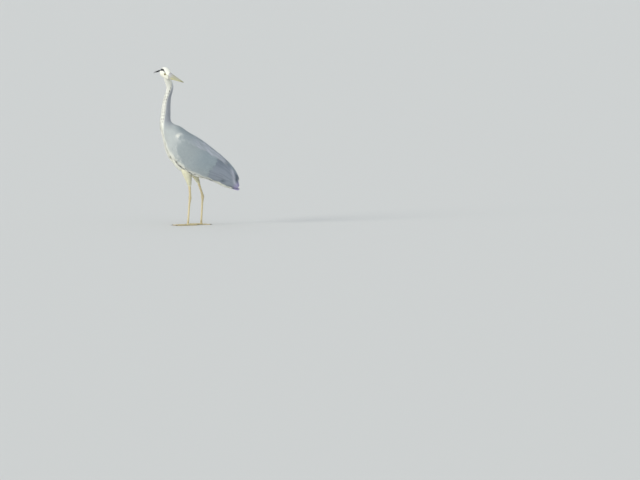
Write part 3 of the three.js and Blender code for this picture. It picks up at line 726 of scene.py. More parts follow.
def vaneGroup():
    # a feather's own pattern: fine barbs slanting from the midrib, the midrib's line, a ragged pale
    # or dark rim where the barbs come loose, and a difference of tone from feather to feather
    group, given, out = makeGroup(
        "vaneDetail",
        {"Tone": (0.5, 0.5, 0.5, 1), "Vane": None, "Edge": 0.0, "Barb Spacing": 0.8,
         "Barb Depth": 0.15, "Midrib Width": 0.25, "Midrib Tone": 0.6, "Rim Tone": 1.1,
         "Variation": 0.08},
        {"Color": "Color", "Height": "Float", "Roughness": "Float"},
    )

    def calc(operation, *values):
        return mathNode(group, operation, *values)

    beside, along, chance = addNode(group, "ShaderNodeSeparateXYZ", {0: given["Vane"]}).outputs
    beside = calc("ABSOLUTE", beside)
    wobble = addNode(group, "ShaderNodeTexNoise", {"Vector": given["Vane"], "Scale": 0.35, "Detail": 2})
    slant = calc("MULTIPLY_ADD", wobble.outputs["Fac"], 1.4, calc("MULTIPLY_ADD", beside, -1.3, along))
    turns = calc("DIVIDE", calc("MULTIPLY", slant, 6.283), given["Barb Spacing"])
    barbs = calc("MULTIPLY_ADD", calc("SINE", turns), 0.5, 0.5)
    coarse = calc("SINE", calc("MULTIPLY", turns, 0.31))
    near, far = (calc("MULTIPLY", given["Midrib Width"], times) for times in (0.5, 1.5))
    rib = smoothRange(group, beside, near, far, 1.0, 0.0)
    rim = smoothRange(group, calc("MULTIPLY_ADD", coarse, 0.09, given["Edge"]), 0.68, 0.98)
    shade = calc("MULTIPLY_ADD", calc("MULTIPLY", barbs, given["Barb Depth"]), -1.0, 1.0)
    change = calc("MULTIPLY_ADD", calc("SUBTRACT", chance, 0.5), given["Variation"], 1.0)
    shade = calc("MULTIPLY", shade, change)
    for mask, tone in ((rib, "Midrib Tone"), (rim, "Rim Tone")):
        offset = calc("SUBTRACT", given[tone], 1.0)
        shade = calc("MULTIPLY", shade, calc("MULTIPLY_ADD", mask, offset, 1.0))
    feed(group, out, {"Color": scaleColour(group, given["Tone"], shade),
                      "Height": calc("MULTIPLY_ADD", barbs, 0.35, rib),
                      "Roughness": calc("MULTIPLY_ADD", barbs, 0.12, 0.62)})
    return group


def mottleGroup():
    # soft wear and dust: large and small noise on the object's own coordinates
    group, given, out = makeGroup(
        "softMottle",
        {"Color": (0.5, 0.5, 0.5, 1), "Scale": 40.0, "Amount": 0.1},
        {"Color": "Color", "Mask": "Float"},
    )
    place = addNode(group, "ShaderNodeTexCoord").outputs["Object"]
    noise = addNode(group, "ShaderNodeTexNoise",
                    {"Vector": place, "Scale": given["Scale"], "Detail": 5, "Roughness": 0.6})
    uneven = mathNode(group, "SUBTRACT", noise.outputs["Fac"], 0.5)
    change = mathNode(group, "MULTIPLY", uneven, given["Amount"])
    shade = mathNode(group, "ADD", change, 1.0)
    feed(group, out, {"Color": scaleColour(group, given["Color"], shade), "Mask": noise.outputs["Fac"]})
    return group


groups = {"vane": vaneGroup(), "mottle": mottleGroup()}


def spaced(values):
    # keyword names as sockets' names
    return {label.replace("_", " "): value for label, value in values.items()}


def mottledTone(tree, scale, amount):
    # the colour held at each point, a little uneven, and the unevenness itself
    tone = addNode(tree, "ShaderNodeAttribute", attribute_name="tone").outputs["Color"]
    made = addNode(tree, "ShaderNodeGroup", node_tree=groups["mottle"])
    feed(tree, made, {"Color": tone, "Scale": scale, "Amount": amount})
    return made.outputs


def newMaterial(name, **values):
    made = bpy.data.materials.new(name)
    made.use_nodes = True
    shader = made.node_tree.nodes["Principled BSDF"]
    feed(made.node_tree, shader, spaced(values))
    return made, made.node_tree, shader


def feedShader(tree, shader, height, strength, distance, **values):
    # a bump from the height, and the other inputs by name
    made = addNode(tree, "ShaderNodeBump", {"Height": height, "Strength": strength, "Distance": distance})
    feed(tree, shader, dict(spaced(values), Normal=made.outputs[0]))


def featherMaterial(name, sheen, mottle, spacing, ribWidth, ribTone, rimTone):
    made, tree, shader = newMaterial(name, Sheen_Weight=sheen, Sheen_Roughness=0.4, Specular_IOR_Level=0.25)
    vane = addNode(tree, "ShaderNodeAttribute", attribute_name="vane").outputs["Vector"]
    edge = addNode(tree, "ShaderNodeAttribute", attribute_name="edge").outputs["Fac"]
    fine = addNode(tree, "ShaderNodeGroup", node_tree=groups["vane"])
    feed(tree, fine, {"Tone": mottledTone(tree, 55.0, mottle)["Color"], "Vane": vane, "Edge": edge,
                      "Barb Spacing": spacing, "Midrib Width": ribWidth, "Midrib Tone": ribTone,
                      "Rim Tone": rimTone})
    feedShader(tree, shader, fine.outputs["Height"], 0.35, 0.15 * mm,
               Base_Color=fine.outputs["Color"], Roughness=fine.outputs["Roughness"])
    return made


# Plumage: name, sheen, mottle, barb spacing and midrib width (mm), midrib tone and rim tone.
plumageLooks = {
    "down": ("faceDown", 0.15, 0.1, 0.35, 0.06, 0.96, 1.03),
    "neck": ("neckPlumage", 0.15, 0.1, 0.5, 0.1, 0.93, 1.05),
    "body": ("bodyPlumage", 0.15, 0.1, 0.6, 0.15, 0.9, 1.06),
    "wing": ("wingPlumage", 0.15, 0.1, 0.7, 0.22, 0.78, 1.12),
    "quill": ("quillPlumage", 0.1, 0.08, 0.9, 0.7, 0.55, 1.1),
    "plume": ("plumeStrands", 0.15, 0.1, 0.6, 0.3, 1.08, 1.05),
}
materials = {key: featherMaterial(*look) for key, look in plumageLooks.items()}
print("stage: materials")

skinLook = {"neckCoat": 1.8 * mm, "trunkCoat": 4 * mm, "thighCoat": 2.2 * mm, "headCoat": 1.0 * mm,
            "voxel": 1.5 * mm, "kept": 0.34, "soleTo": 0.45 * mm, "lores": paint(206, 208, 178),
            "lid": paint(160, 156, 116), "lidRim": paint(40, 36, 30), "leg": paint(226, 212, 170),
            "toe": paint(198, 184, 142), "knee": paint(200, 188, 148), "billBase": paint(190, 192, 180)}
eyeLook = {"x": 9, "y": 12.7, "z": -5.5, "radius": 6.8, "socket": 1.7, "socketReach": 7.0,
           "lidWide": 5.3, "lidHigh": 4.7, "lidRest": 5.8, "forward": 11}


def eyeDistance(x, z):
    # distance in millimetres from the eye's middle, a little longer to the front and back
    return np.hypot((x - eyeLook["x"]) * 0.9, z - eyeLook["z"])


def faceRing(at, around, inset=0.0):
    # the head with a hollow round each eye: y - socket * bump(distance from the eye's middle)
    local = headRing(at, around, inset)
    distance = eyeDistance(local[..., 0] / mm, local[..., 2] / mm)
    sunk = eyeLook["socket"] * bump(distance, 0, eyeLook["socketReach"])
    local[..., 1] -= np.sign(local[..., 1]) * sunk * mm
    return local


headSkin = Surface(lambda u, v: fromHead(faceRing(u, v)), 0.02, 0.5, outward=-1, toward=-1)


def baredLores(x, z, rim):
    # the strip of bare skin from the eye to the bill, a little wider at the bill
    line = mix(-6, -7.8, rise(x, 14, 32))
    half = mix(1.2, 3.4, rise(x, 14, 28))
    return rise(x, 13, 16) * (1 - rise(np.abs(z - line), half - rim, half + rim))


def legTone(z):
    # paler shin, greyer over the ankle, duller on the foot
    tone = blend(skinLook["toe"], skinLook["leg"], rise(z, 10 * mm, 40 * mm))
    return blend(tone, skinLook["knee"], bump(z, 155 * mm, 12 * mm) * 0.5)


def footPlace(side):
    return legStations[side][-1, :3] * [1, 1, 0] + shift


def splayed(points, toe, hand):
    # turns a toe that was made along +x to its own angle and stands it under the leg
    x, y = rotated(points, -hand * math.radians(toe["angle"]))
    return stacked(-x, hand * toe["root"] * mm - y, points[..., 2])


def toeShape(toe, t, around, grow=0.0):
    # half = wide * taper * (1 + knuckle * cos); flat underneath, round above
    knuckle = 1 + 0.13 * np.cos(t * (toe["joints"] + 1) * 2 * math.pi)
    half = toe["wide"] * mm * mix(1, toeTaper, t) * knuckle
    c, s = turned(around)
    lift = np.maximum(0, half * toeHeight * (0.5 + 0.55 * s))
    return stacked(toe["length"] * mm * t, c * half, lift) + stacked(0, c, np.maximum(s, 0)) * grow


def skinParts():
    at, around = np.linspace(0.1, trunkEnd - 0.1, 190)[:, None], ringAngles(64, -180, 180)
    deep = mix(skinLook["neckCoat"], skinLook["trunkCoat"], rise(at, 8, 11.5))
    deep = deep * (1 - 0.45 * rise(at, 16.5, 18.2))
    grid = bodyPoint(at, around, deep + bellyHollow(at, around, 28, 40), rump=True)
    parts = [tinted(grid, bodyTone(at, around, 0.2))]
    at, around = np.linspace(0, 8, 100)[:, None], ringAngles(96, 0, 360)
    coatDepth = np.minimum(skinLook["headCoat"] * (1 - 0.6 * rise(at, 6.5, 8)), 0.9 * at * mm)
    local = faceRing(at, around, coatDepth)
    x, z = local[..., 0] / mm, local[..., 2] / mm
    colour = blend(headTone(local, 0.5), skinLook["lores"], baredLores(x, z, 0.8))
    colour = blend(colour, skinLook["lid"], 1 - rise(eyeDistance(x, z), 6.4, 8.0))
    colour = blend(colour, skinLook["billBase"], rise(x, 30.5, 32))
    parts.append(tinted(fromHead(local), colour))
    at, around = np.linspace(0.1, 13, 150)[:, None], ringAngles(32, 0, 360)
    inset = mix(skinLook["thighCoat"], 0.35 * mm, rise(at, 2.5, 4.6))
    for side, hand in sides.items():
        for grid in (legPoint(side, at, around, inset), *footGrids(side, hand)):
            parts.append(tinted(grid, legTone(grid[..., 2])))
    return parts


def intoSocket(points, hand):
    # turns an eye's own shape, made looking along +y, a little forward and puts it in the head
    x, y = rotated(points, -math.radians(eyeLook["forward"]))
    middle = np.array([eyeLook["x"], hand * eyeLook["y"], eyeLook["z"]]) * mm
    return stacked(x, hand * y, points[..., 2]) + middle


def lidRing(hand):
    # a flattened tube round the eye: its inner side rests on the ball, y = sqrt(R^2 - r^2), and its
    # outer side slopes down under the skin; the upper half is thicker than the lower
    t, ring = ringAngles(96).T, ringAngles(16)
    tube = 0.6 + 0.12 * np.sin(t)
    across = eyeLook["lidWide"] * (1 + 0.07 * np.abs(np.cos(t)) ** 6) * np.cos(t)
    high = eyeLook["lidHigh"] * np.sin(t) * np.where(np.sin(t) > 0, 0.93, 1)
    out = tube * np.cos(ring) + 1.9 * rise(np.cos(ring), 0, 1)
    x, z = across + out * np.cos(t), high + out * np.sin(t)
    away, rest = np.hypot(x, z), eyeLook["lidRest"]
    slope = 0.9 * np.maximum(away - rest, 0)
    y = np.sqrt(eyeLook["radius"] ** 2 - np.minimum(away, rest) ** 2) - slope + 0.1 + tube * np.sin(ring)
    points = fromHead(intoSocket(stacked(x, y, z) * mm, hand))
    rows, columns = points.shape[:2]
    i, j = np.meshgrid(np.arange(rows), np.arange(columns), indexing="ij")
    nextI, nextJ = (i + 1) % rows, (j + 1) % columns
    a, b, c, d = i * columns + j, nextI * columns + j, nextI * columns + nextJ, i * columns + nextJ
    triangles = np.concatenate([stacked(a, b, c), stacked(a, c, d)]).reshape(-1, 3)
    if hand < 0:
        triangles = triangles[:, ::-1]
    colours = blend(skinLook["lid"], skinLook["lidRim"], rise(-np.cos(ring), 0.0, 0.7) + 0 * t)
    return (points.reshape(-1, 3), triangles), colours.reshape(-1, 3)


def footGrids(side, hand):
    # the pad under the leg, with each ring's radius and height, and the four toes
    rings = np.array([[6.3, 0.0], [8.7, 3.4], [8.4, 6.8], [6.2, 11.4]]) * mm
    turn = ringAngles(24)
    pad = stacked(rings[:, :1] * np.cos(turn), rings[:, :1] * np.sin(turn), rings[:, 1:])
    t, around = np.linspace(0, 1, 40)[:, None], ringAngles(20, 0, 360)
    toes = [splayed(toeShape(toe, t, around, -0.25 * mm), toe, hand) for toe in toeSizes.values()]
    return [grid + footPlace(side) for grid in (pad, *toes)]


def evaluatedCopy(made):
    graph = bpy.context.evaluated_depsgraph_get()
    return bpy.data.meshes.new_from_object(made.evaluated_get(graph), depsgraph=graph)


def makeSkin():
    # all the flesh as one surface, with its colours carried over and the lids joined to it
    tubes, colours = zip(*skinParts())
    source = meshObject("skinSource", *joined(tubes))
    setTone(source, np.concatenate(colours))
    rough = placed("skinRough", source.data.copy())
    remesh = rough.modifiers.new("remesh", "REMESH")
    remesh.mode = "VOXEL"
    remesh.voxel_size = skinLook["voxel"]
    smooth = rough.modifiers.new("smooth", "SMOOTH")
    smooth.factor, smooth.iterations = 0.5, 3
    fewer = rough.modifiers.new("fewer", "DECIMATE")
    fewer.ratio = skinLook["kept"]
    skin = placed("skinTinted", evaluatedCopy(rough))
    skin.data.attributes.new("tone", "FLOAT_COLOR", "POINT")
    transfer = skin.modifiers.new("transfer", "DATA_TRANSFER")
    transfer.object = source
    transfer.use_vert_data = True
    transfer.data_types_verts = {"COLOR_VERTEX"}
    transfer.vert_mapping = "POLYINTERP_NEAREST"
    mesh = evaluatedCopy(skin)
    mesh.calc_loop_triangles()
    points = readValues(mesh.vertices, "co", 3, np.float32).reshape(-1, 3).astype(float)
    colours = readValues(mesh.attributes["tone"].data, "color", 4, np.float32).reshape(-1, 4)[:, :3]
    triangles = readValues(mesh.loop_triangles, "vertices", 3).reshape(-1, 3)
    points[:, 2] = np.where(points[:, 2] < skinLook["soleTo"], 0, points[:, 2])
    lids, lidColours = zip(*(lidRing(hand) for hand in sides.values()))
    whole = joined([(points, triangles), *lids])
    for spare in (rough, source, skin):
        bpy.data.objects.remove(spare)
    flesh = ["head", "neck_upper", "neck_middle", "neck_lower", "trunk"]
    for side in sides:
        flesh += [f"{part}_{side}" for part in ("thigh", "shin", "ankle", "tarsus", "foot")]
        flesh += [f"toe_{toe}_{side}" for toe in toeSizes]
    colours = np.concatenate([colours, *lidColours])
    tintedPiece("skin", whole, colours, skinMaterial(), "leg_skin", flesh)
    print(f"stage: skin {len(whole[1])} triangles")


def skinMaterial():
    made, tree, shader = newMaterial("heronSkin", Subsurface_Weight=0.05, Subsurface_Scale=0.002,
                                     Specular_IOR_Level=0.4)
    soft = mottledTone(tree, 180.0, 0.22)
    place = addNode(tree, "ShaderNodeTexCoord").outputs["Object"]
    cells = addNode(tree, "ShaderNodeTexVoronoi", {"Vector": place, "Scale": 900.0})
    feedShader(tree, shader, cells.outputs["Distance"], 0.25, 0.2 * mm, Base_Color=soft["Color"],
               Roughness=smoothRange(tree, soft["Mask"], 0.3, 0.7, 0.42, 0.6))
    return made


makeSkin()


faceLook = {"rows": 5, "outline": (0.5, 0.6), "thick": 0.1 * mm, "sink": 1.2 * mm, "lift": 0.02 * mm,
            "roll": 0.05, "scatter": 0.1, "stagger": 0.03 * mm, "ruffle": 0.12, "swell": 0.08 * mm,
            "soft": 0.7}


def headCoat():
    rng = np.random.default_rng(11)
    u, v = rootsOver(headSkin, (7.98, 0.3), (-180, 180), (0.86, 1.5), (0.86, 1.35), rng, 0.6, (6.8, 2.5))
    local = headRing(u, v)
    x, z = local[:, 0] / mm, local[:, 2] / mm
    bare = 6.1 + 1.7 * rise(x, eyeLook["x"] - 2, eyeLook["x"] + 4)
    keep = (eyeDistance(x, z) > bare) & (baredLores(x, z, 0.3) < 0.5)
    u, v, x, z = u[keep], v[keep], x[keep], z[keep]
    toPole = np.hypot(local[keep, 1], local[keep, 2] + 3 * mm) + 0.5 * mm
    near = 1 - rise(eyeDistance(x, z), 7, 12)
    length = mix(3.6, 9.0, rise(x, 24, -28)) * (1 - 0.5 * near) * mm * rng.uniform(0.85, 1.15, len(u))
    length = np.where(x < -34, np.minimum(length, toPole), length)
    half = mix(0.6, 1.05, rise(x, 24, -28)) * (1 - 0.25 * near) * mm * rng.uniform(0.85, 1.15, len(u))
    look = dict(faceLook, base=-0.6 * near * mm)
    return [vanes(headSkin, u, v, length, half, look, faceTone, rng)]


def faceTone(at, around, chance):
    return headTone(headRing(at, around), chance)


coatPiece("coat_head", headCoat(), materials["down"], "pale_plumage")

neckLook = {"rows": 5, "outline": (0.4, 0.8), "thick": 0.12 * mm, "sink": 2.2 * mm, "roll": 0.05,
            "rollSpread": 0.05, "scatter": 0.09, "stagger": 0.12 * mm, "ruffle": 0.12,
            "swell": 0.35 * mm, "soft": 0.65}


def neckCoat(start, end, seed, close):
    rng = np.random.default_rng(seed)
    u, v = rootsOver(neckSkin, (start, end), (-180, 180), (1.7, 3.2), (1.45, 2.5), rng, 0.8, (1, 9), close)
    length = mix(9, 24, rise(u, 0.5, 9)) * mm * rng.uniform(0.8, 1.2, len(u))
    half = mix(0.95, 1.7, rise(u, 1, 9)) * mm * rng.uniform(0.8, 1.2, len(u))
    return [vanes(neckSkin, u, v, length, half, neckLook, bodyTone, rng)]


coatPiece("coat_neck_upper", neckCoat(0.03, 4.9, 12, 0.82), materials["neck"], "neck_plumage")
coatPiece("coat_neck_lower", neckCoat(4.9, 9.3, 13, 0.62), materials["neck"], "neck_plumage")

bodyLook = {"rows": 7, "outline": (0.45, 0.6), "thick": 0.16 * mm, "sink": 4.4 * mm, "roll": 0.05,
            "rollSpread": 0.04, "scatter": 0.09, "stagger": 0.18 * mm, "ruffle": 0.12,
            "swell": 0.6 * mm, "soft": 0.6}


def bodyCoat(start, end, seed):
    rng = np.random.default_rng(seed)
    u, v = rootsOver(trunkSkin, (start, end), (-180, 180), (2.7, 4.2), (2.3, 3.5), rng, 0.7, (9, 12))
    a = np.abs(v)
    covered = (u > 11.7) & (a > wingAngle(u, 0.0) + 14) & (a < wingAngle(u, 1.0) - 22)
    u, v = u[~covered], v[~covered]
    size = rng.uniform(0.85, 1.15, len(u))
    length = mix(22, 34, rise(u, 8.5, 12)) * mm * size
    half = mix(1.8, 3.3, rise(u, 8.5, 12)) * mm * size
    full = 3.5 * mm * rise(u, 15.4, 16.8) * (1 - rise(np.abs(v), 45, 75))
    return [vanes(trunkSkin, u, v, length, half, dict(bodyLook, base=full), bodyTone, rng)]


coatPiece("coat_breast", bodyCoat(8.4, 12.9, 14), materials["body"], "body_plumage")
coatPiece("coat_belly", bodyCoat(12.9, 18.2, 15), materials["body"], "body_plumage")

breastLook = {"rows": 9, "outline": (0.35, 1.1), "thick": 0.16 * mm, "sink": 1.5 * mm,
              "lift": 1.6 * mm, "roll": 0.04, "scatter": 0.07, "stagger": 0.5 * mm, "ruffle": 0.15,
              "swell": 0.8 * mm}


def breastPlumes():
    # long narrow feathers hanging from the neck's base over the breast
    rng = np.random.default_rng(16)
    count = 620
    u = rng.uniform(8.2, 11.6, count)
    v = np.clip(rng.normal(0, 0.6, count), -1, 1) * mix(50, 34, rise(u, 8, 11.5))
    length = mix(58, 88, rise(u, 8, 11)) * mm * rng.uniform(0.75, 1.2, count)
    half = rng.uniform(1.2, 2.2, count) * mm
    return [vanes(neckSkin, u, v, length, half, breastLook, bodyTone, rng)]


coatPiece("plumes_breast", breastPlumes(), materials["plume"], "neck_plumage")

covertLook = {"rows": 8, "columns": 5, "outline": (0.42, 0.42), "thick": 0.16 * mm, "sink": 2.8 * mm,
              "roll": -0.04, "stagger": 0.08 * mm, "camber": 0.07, "fray": 0.22, "ruffle": 0.06,
              "swell": 0.25 * mm, "soft": 0.45}
quillLook = {"rows": 20, "columns": 9, "flat": False, "outline": (0.2, 0.36), "thick": 0.26 * mm,
             "sink": 3.0 * mm, "lift": 0.0, "roll": -0.075, "rollSpread": 0.004, "scatter": 0.01,
             "stagger": 0.02 * mm, "camber": 0.04, "fray": 0.05, "perPoint": True, "soft": 0.3}
covertSpans = [
    {"start": 11.15, "end": 13.5, "pitch": 3.3, "spread": 3.5, "length": 15, "half": 3.0, "jitter": 0.7},
    {"start": 13.4, "end": 14.75, "pitch": 6, "spread": 5.4, "length": 31, "half": 4.8, "jitter": 0.5},
    {"start": 14.6, "end": 15.2, "pitch": 10, "spread": 8, "length": 56, "half": 7.4, "jitter": 0.35},
]


def covertRows(surface, rng):
    # lesser, median and greater coverts, each longer than the last
    found = []
    for span in covertSpans:
        u, v = rootsOver(surface, (span["start"], span["end"]), (0.01, 0.99), [span["pitch"]] * 2,
                         [span["spread"]] * 2, rng, span["jitter"])
        size = rng.uniform(0.88, 1.12, len(u))
        length, half = span["length"] * mm * size, span["half"] * mm * size
        found.append(vanes(surface, u, v, length, half, covertLook, wingTone, rng))
    return found


def secondaries(surface, rng):
    # the lowest is the shortest, and each lies over the one below it
    k = np.linspace(0, 1, 17)
    u = 15.0 + 0.1 * k
    v = 0.05 + 0.88 * k
    length = mix(128, 238, k**0.8) * mm
    look = dict(quillLook, base=mix(-2.2, 0.5, k) * mm)
    return [vanes(surface, u, v, length, mix(12.5, 11.5, k) * mm, look, quillTone, rng)]


def primaries(surface, rng):
    # the lowest runs just below the wing's own border, and all of them reach its tip
    k = np.linspace(0, 1, 13)
    u = 16.3 + 0.25 * k
    v = -0.05 + 0.8 * k
    length = mix(160, 166, k) * mm
    look = dict(quillLook, base=(-4.6 + 1.8 * k) * mm, sink=1.5 * mm, outline=(0.2, 0.28), curl=-0.14)
    return [vanes(surface, u, v, length, 11 * mm, look, quillTone, rng)]


for side, hand in sides.items():
    rng = np.random.default_rng(20 + hand)
    surface = wingSurface(hand)
    coatPiece(f"coverts_{side}", covertRows(surface, rng), materials["wing"], "wing_plumage")
    coatPiece(f"secondaries_{side}", secondaries(surface, rng), materials["quill"], "wing_plumage",
              [f"wing_{side}"])
    coatPiece(f"flight_{side}", primaries(surface, rng), materials["quill"], "flight_plumage",
              [f"primaries_{side}"])


def tertials():
    # broad feathers along the ridge that close the gap between the folded wings
    rng = np.random.default_rng(26)
    k = np.array([-1, 1, -0.72, 0.72, -0.42, 0.46, -0.1, 0.14])
    u = 16.1 - 0.2 * np.abs(k)
    length = mix(166, 150, np.abs(k)) * mm
    look = dict(quillLook, base=mix(2.2, 0.8, np.abs(k)) * mm, outline=(0.2, 0.3), roll=0.0)
    return [vanes(neckSkin, u, 180 + 22 * k, length, 12.5 * mm, look, tertialTone, rng)]


def tertialTone(at, around, chance):
    return blend(tones["wing"], tones["flight"], rise(at, 17, 19.2)) + 0 * chance[..., None]


coatPiece("tertials", tertials(), materials["quill"], "wing_plumage")

thighLook = {"outline": (0.45, 0.6), "thick": 0.14 * mm, "sink": 2.5 * mm, "roll": 0.04,
             "scatter": 0.12, "stagger": 0.15 * mm, "ruffle": 0.15, "swell": 0.3 * mm}


def thighCoat():
    found = []
    for side, apart in {"left": 0, "right": 400}.items():
        rng = np.random.default_rng(31)
        surface = legSurface(side)
        u, v = rootsOver(surface, (0.3, 4.35), (0, 360), (3.2, 2.0), (2.8, 1.6), rng, 0.7, (1, 4))
        length = mix(22, 11, rise(u, 0.5, 4.3)) * mm * rng.uniform(0.85, 1.15, len(u))
        half = mix(2.4, 1.3, rise(u, 0.5, 4)) * mm * rng.uniform(0.85, 1.15, len(u))
        batch = vanes(surface, u, v, length, half, thighLook, plainTone("thigh"), rng)
        batch["spot"] = batch["spot"] + [0, apart]
        found.append(batch)
    return found


def plainTone(name):
    return lambda at, around, chance: np.tile(tones[name], (len(at), 1))


coatPiece("coat_thighs", thighCoat(), materials["body"], "pale_plumage")

scapularLook = {"rows": 10, "outline": (0.3, 0.9), "thick": 0.2 * mm, "sink": 2.6 * mm,
                "lift": 0.5 * mm, "roll": 0.0, "rollSpread": 0.05, "scatter": 0.05,
                "stagger": 0.35 * mm, "camber": 0.15, "ruffle": 0.08, "swell": 0.6 * mm,
                "perPoint": True}
scapularSize = {"count": 620, "start": 11.2, "reach": 3.7, "short": 46, "long": 128, "half": 3.1}
ridgeSize = {"count": 420, "start": 11.5, "end": 16.6, "length": 62, "half": 4.2}


def plumeTone(at, around, chance):
    # grey at the root, silver towards the tip on some
    pale = mix(0.35, 1, rise(chance, 0.2, 0.9))
    return blend(tones["mantle"], tones["plume"], 0.8 * pale * rise(at, 11.8, 14.6))


def scapulars():
    # long narrow feathers over the wing's upper border, and shorter ones along the ridge of the back
    found = []
    for hand in sides.values():
        rng = np.random.default_rng(41 + hand)
        count = scapularSize["count"]
        k = rng.random(count)
        u = scapularSize["start"] + scapularSize["reach"] * k
        v = hand * (wingAngle(u, 1.0) - 17 + 30 * rng.random(count))
        length = mix(scapularSize["short"], scapularSize["long"], rise(k, 0, 0.7)) * mm
        length = length * rng.uniform(0.75, 1.15, count)
        half = scapularSize["half"] * mm * rng.uniform(0.8, 1.25, count)
        look = dict(scapularLook, lean=hand * -0.03)
        found.append(vanes(neckSkin, u, v, length, half, look, plumeTone, rng))
    rng = np.random.default_rng(44)
    count = ridgeSize["count"]
    u = np.sort(rng.uniform(ridgeSize["start"], ridgeSize["end"], count))
    v = 180 + rng.normal(0, 1, count) * mix(9, 6, rise(u, 12, 16))
    length = ridgeSize["length"] * mm * rng.uniform(0.8, 1.2, count)
    look = dict(scapularLook, sink=2.0 * mm, lift=0.2 * mm)
    found.append(vanes(neckSkin, u, v, length, ridgeSize["half"] * mm, look, plumeTone, rng))
    return found


coatPiece("scapulars", scapulars(), materials["plume"], "body_plumage")

# The tail's ridge from the rump to beyond its tip: x and z (mm).
tailLine = np.array([[154, 228], [168, 220.5], [187, 210], [208, 200.5], [226, 192.5], [246, 184.5]]) * mm
tailLook = {"slope": 1.35, "ridge": 9 * mm, "raised": 7 * mm, "half": 9.5 * mm}


def tailPoint(u, v):
    # a roof with a rounded ridge: z = ridge line + raised - slope * (sqrt(y^2 + r^2) - r)
    u, v = paired(u, v)
    line = stations(tailLine, u)
    steep = tailLook["slope"] * rise(u, -1.5, 2)
    fall = steep * (np.hypot(v, tailLook["ridge"]) - tailLook["ridge"])
    return stacked(line[..., 0], v, line[..., 1] + tailLook["raised"] * rise(u, 0, 2) - fall) + shift


def tailFeathers():
    # six long feathers a side, the middle ones on top, and short coverts over their roots
    rng = np.random.default_rng(51)
    surface = Surface(tailPoint, 0.02, 0.2 * mm)
    k = (np.arange(5.5, 0, -1)[:, None] * [1, -1]).ravel()
    length = (74 - 0.8 * np.abs(k)) * mm
    look = dict(quillLook, base=(1.2 - 0.5 * np.abs(k)) * mm, sink=1 * mm, roll=0.0)
    half = tailLook["half"]
    long = vanes(surface, np.zeros(len(k)), k * 2.2 * mm, length, half, look, tailTone, rng)
    k = np.repeat(np.linspace(-1, 1, 9), 2)
    look = dict(look, base=2.0 * mm, rows=10)
    tone = lambda at, across, chance: np.broadcast_to(tones["wing"], np.shape(at) + (3,))
    short = vanes(surface, np.tile([0.9, 0.3], 9), 15 * k * mm, 30 * mm, 6 * mm, look, tone, rng)
    return [long, short]


def tailTone(at, across, chance):
    # painted highlight: a lilac sheen over the tail's end
    return blend(tones["flight"], tones["paintedLilacHighlight"], 0.9 * rise(at, 1.4, 2.8))


coatPiece("tail_feathers", tailFeathers(), materials["quill"], "tail_plumage", ["tail"])


billLook = {"culmen": paint(118, 116, 108), "side": paint(158, 158, 134), "low": paint(188, 185, 144),
            "tip": paint(122, 121, 84), "base": paint(176, 175, 178), "nostril": paint(46, 43, 36),
            "taper": 3.5 * mm}


def billHalf(edge, gap, overhang, rows=120, around=56):
    # y = cos(a) * side, z from the meeting line to the ridge by sin(a)^0.9; closed flat where they
    # meet, and both shrink to the point by sqrt(distance from it) over the last few millimetres
    at = (1 - (1 - np.linspace(0, 1, rows)) ** 1.15) * (len(billStations) - 1)
    shape = stations(billStations, at)[..., None]
    start, end = billStations[[0, -1], 0]
    x = shape[:, 0] + overhang * ((shape[:, 0] - start) / (end - start))
    left = np.clip((x[-1] + 0.2 * mm - x) / billLook["taper"], 0, 1) ** 0.5
    x = x - 4 * mm * (1 - rise(at, 0, 0.3))[:, None]
    cut, side = shape[:, 2] + gap, shape[:, 4] * left
    a = np.linspace(0, math.pi, around)
    s = np.sin(a)[None] ** 0.9
    return stacked(x, np.cos(a) * side, mix(cut, mix(cut, shape[:, edge], left), s)), x / mm, s


def makeBill():
    # the upper half has a groove from the nostril forwards, and the nostril is a long slit in it
    upper, x, s = billHalf(1, 0.12 * mm, 4 * mm)
    line = mix(0.66, 0.5, rise(x, 36, 90))
    groove = bump(s, line, 0.07) * rise(x, 35, 40) * (1 - rise(x, 78, 108))
    slit = bump(s, line - 0.02, 0.035) * rise(x, 38.5, 41) * (1 - rise(x, 50, 53.5))
    inward = unit(stacked(0, upper[..., 1], upper[..., 2] + 10 * mm))
    upper = upper - inward * ((0.5 * groove + slit) * mm)[..., None]
    colour = blend(billLook["side"], billLook["base"], 1 - rise(x, 38, 70))
    colour = blend(colour, billLook["culmen"], rise(s, 0.9, 0.99) * 0.55)
    colour = blend(colour, billLook["culmen"], groove * 0.35)
    colour = blend(colour, billLook["tip"], rise(x, 105, 150))
    colour = blend(colour, billLook["nostril"], np.clip(slit * 1.3, 0, 0.95))
    lower, x, s = billHalf(3, -0.12 * mm, 0)
    lowColour = blend(billLook["low"], billLook["base"], 0.75 * (1 - rise(x, 38, 62)))
    lowColour = blend(lowColour, billLook["tip"], rise(x, 112, 148))
    # painted shade: darker along the lower half's meeting edge, where the gap between the halves lies
    lowColour = blend(lowColour, billLook["culmen"], (1 - rise(s, 0, 0.14)) * 0.4)
    for name, grid, tone in (("upper", upper, colour), ("lower", lower, lowColour)):
        shape, colours = tinted(fromHead(grid), tone)
        tintedPiece(f"{name}_bill", shape, colours, materials["horn"], "bill_horn", [f"bill_{name}"])


def hornMaterial(name, roughness, fineness):
    made, tree, shader = newMaterial(name, Roughness=roughness)
    soft = mottledTone(tree, fineness, 0.25)
    feedShader(tree, shader, soft["Mask"], 0.15, 0.3 * mm, Base_Color=soft["Color"])
    return made


hornLooks = {"horn": ("billHorn", 0.38, 220.0), "claw": ("clawHorn", 0.35, 400.0),
             "scute": ("legScutes", 0.5, 300.0)}
materials.update({key: hornMaterial(*look) for key, look in hornLooks.items()})
makeBill()


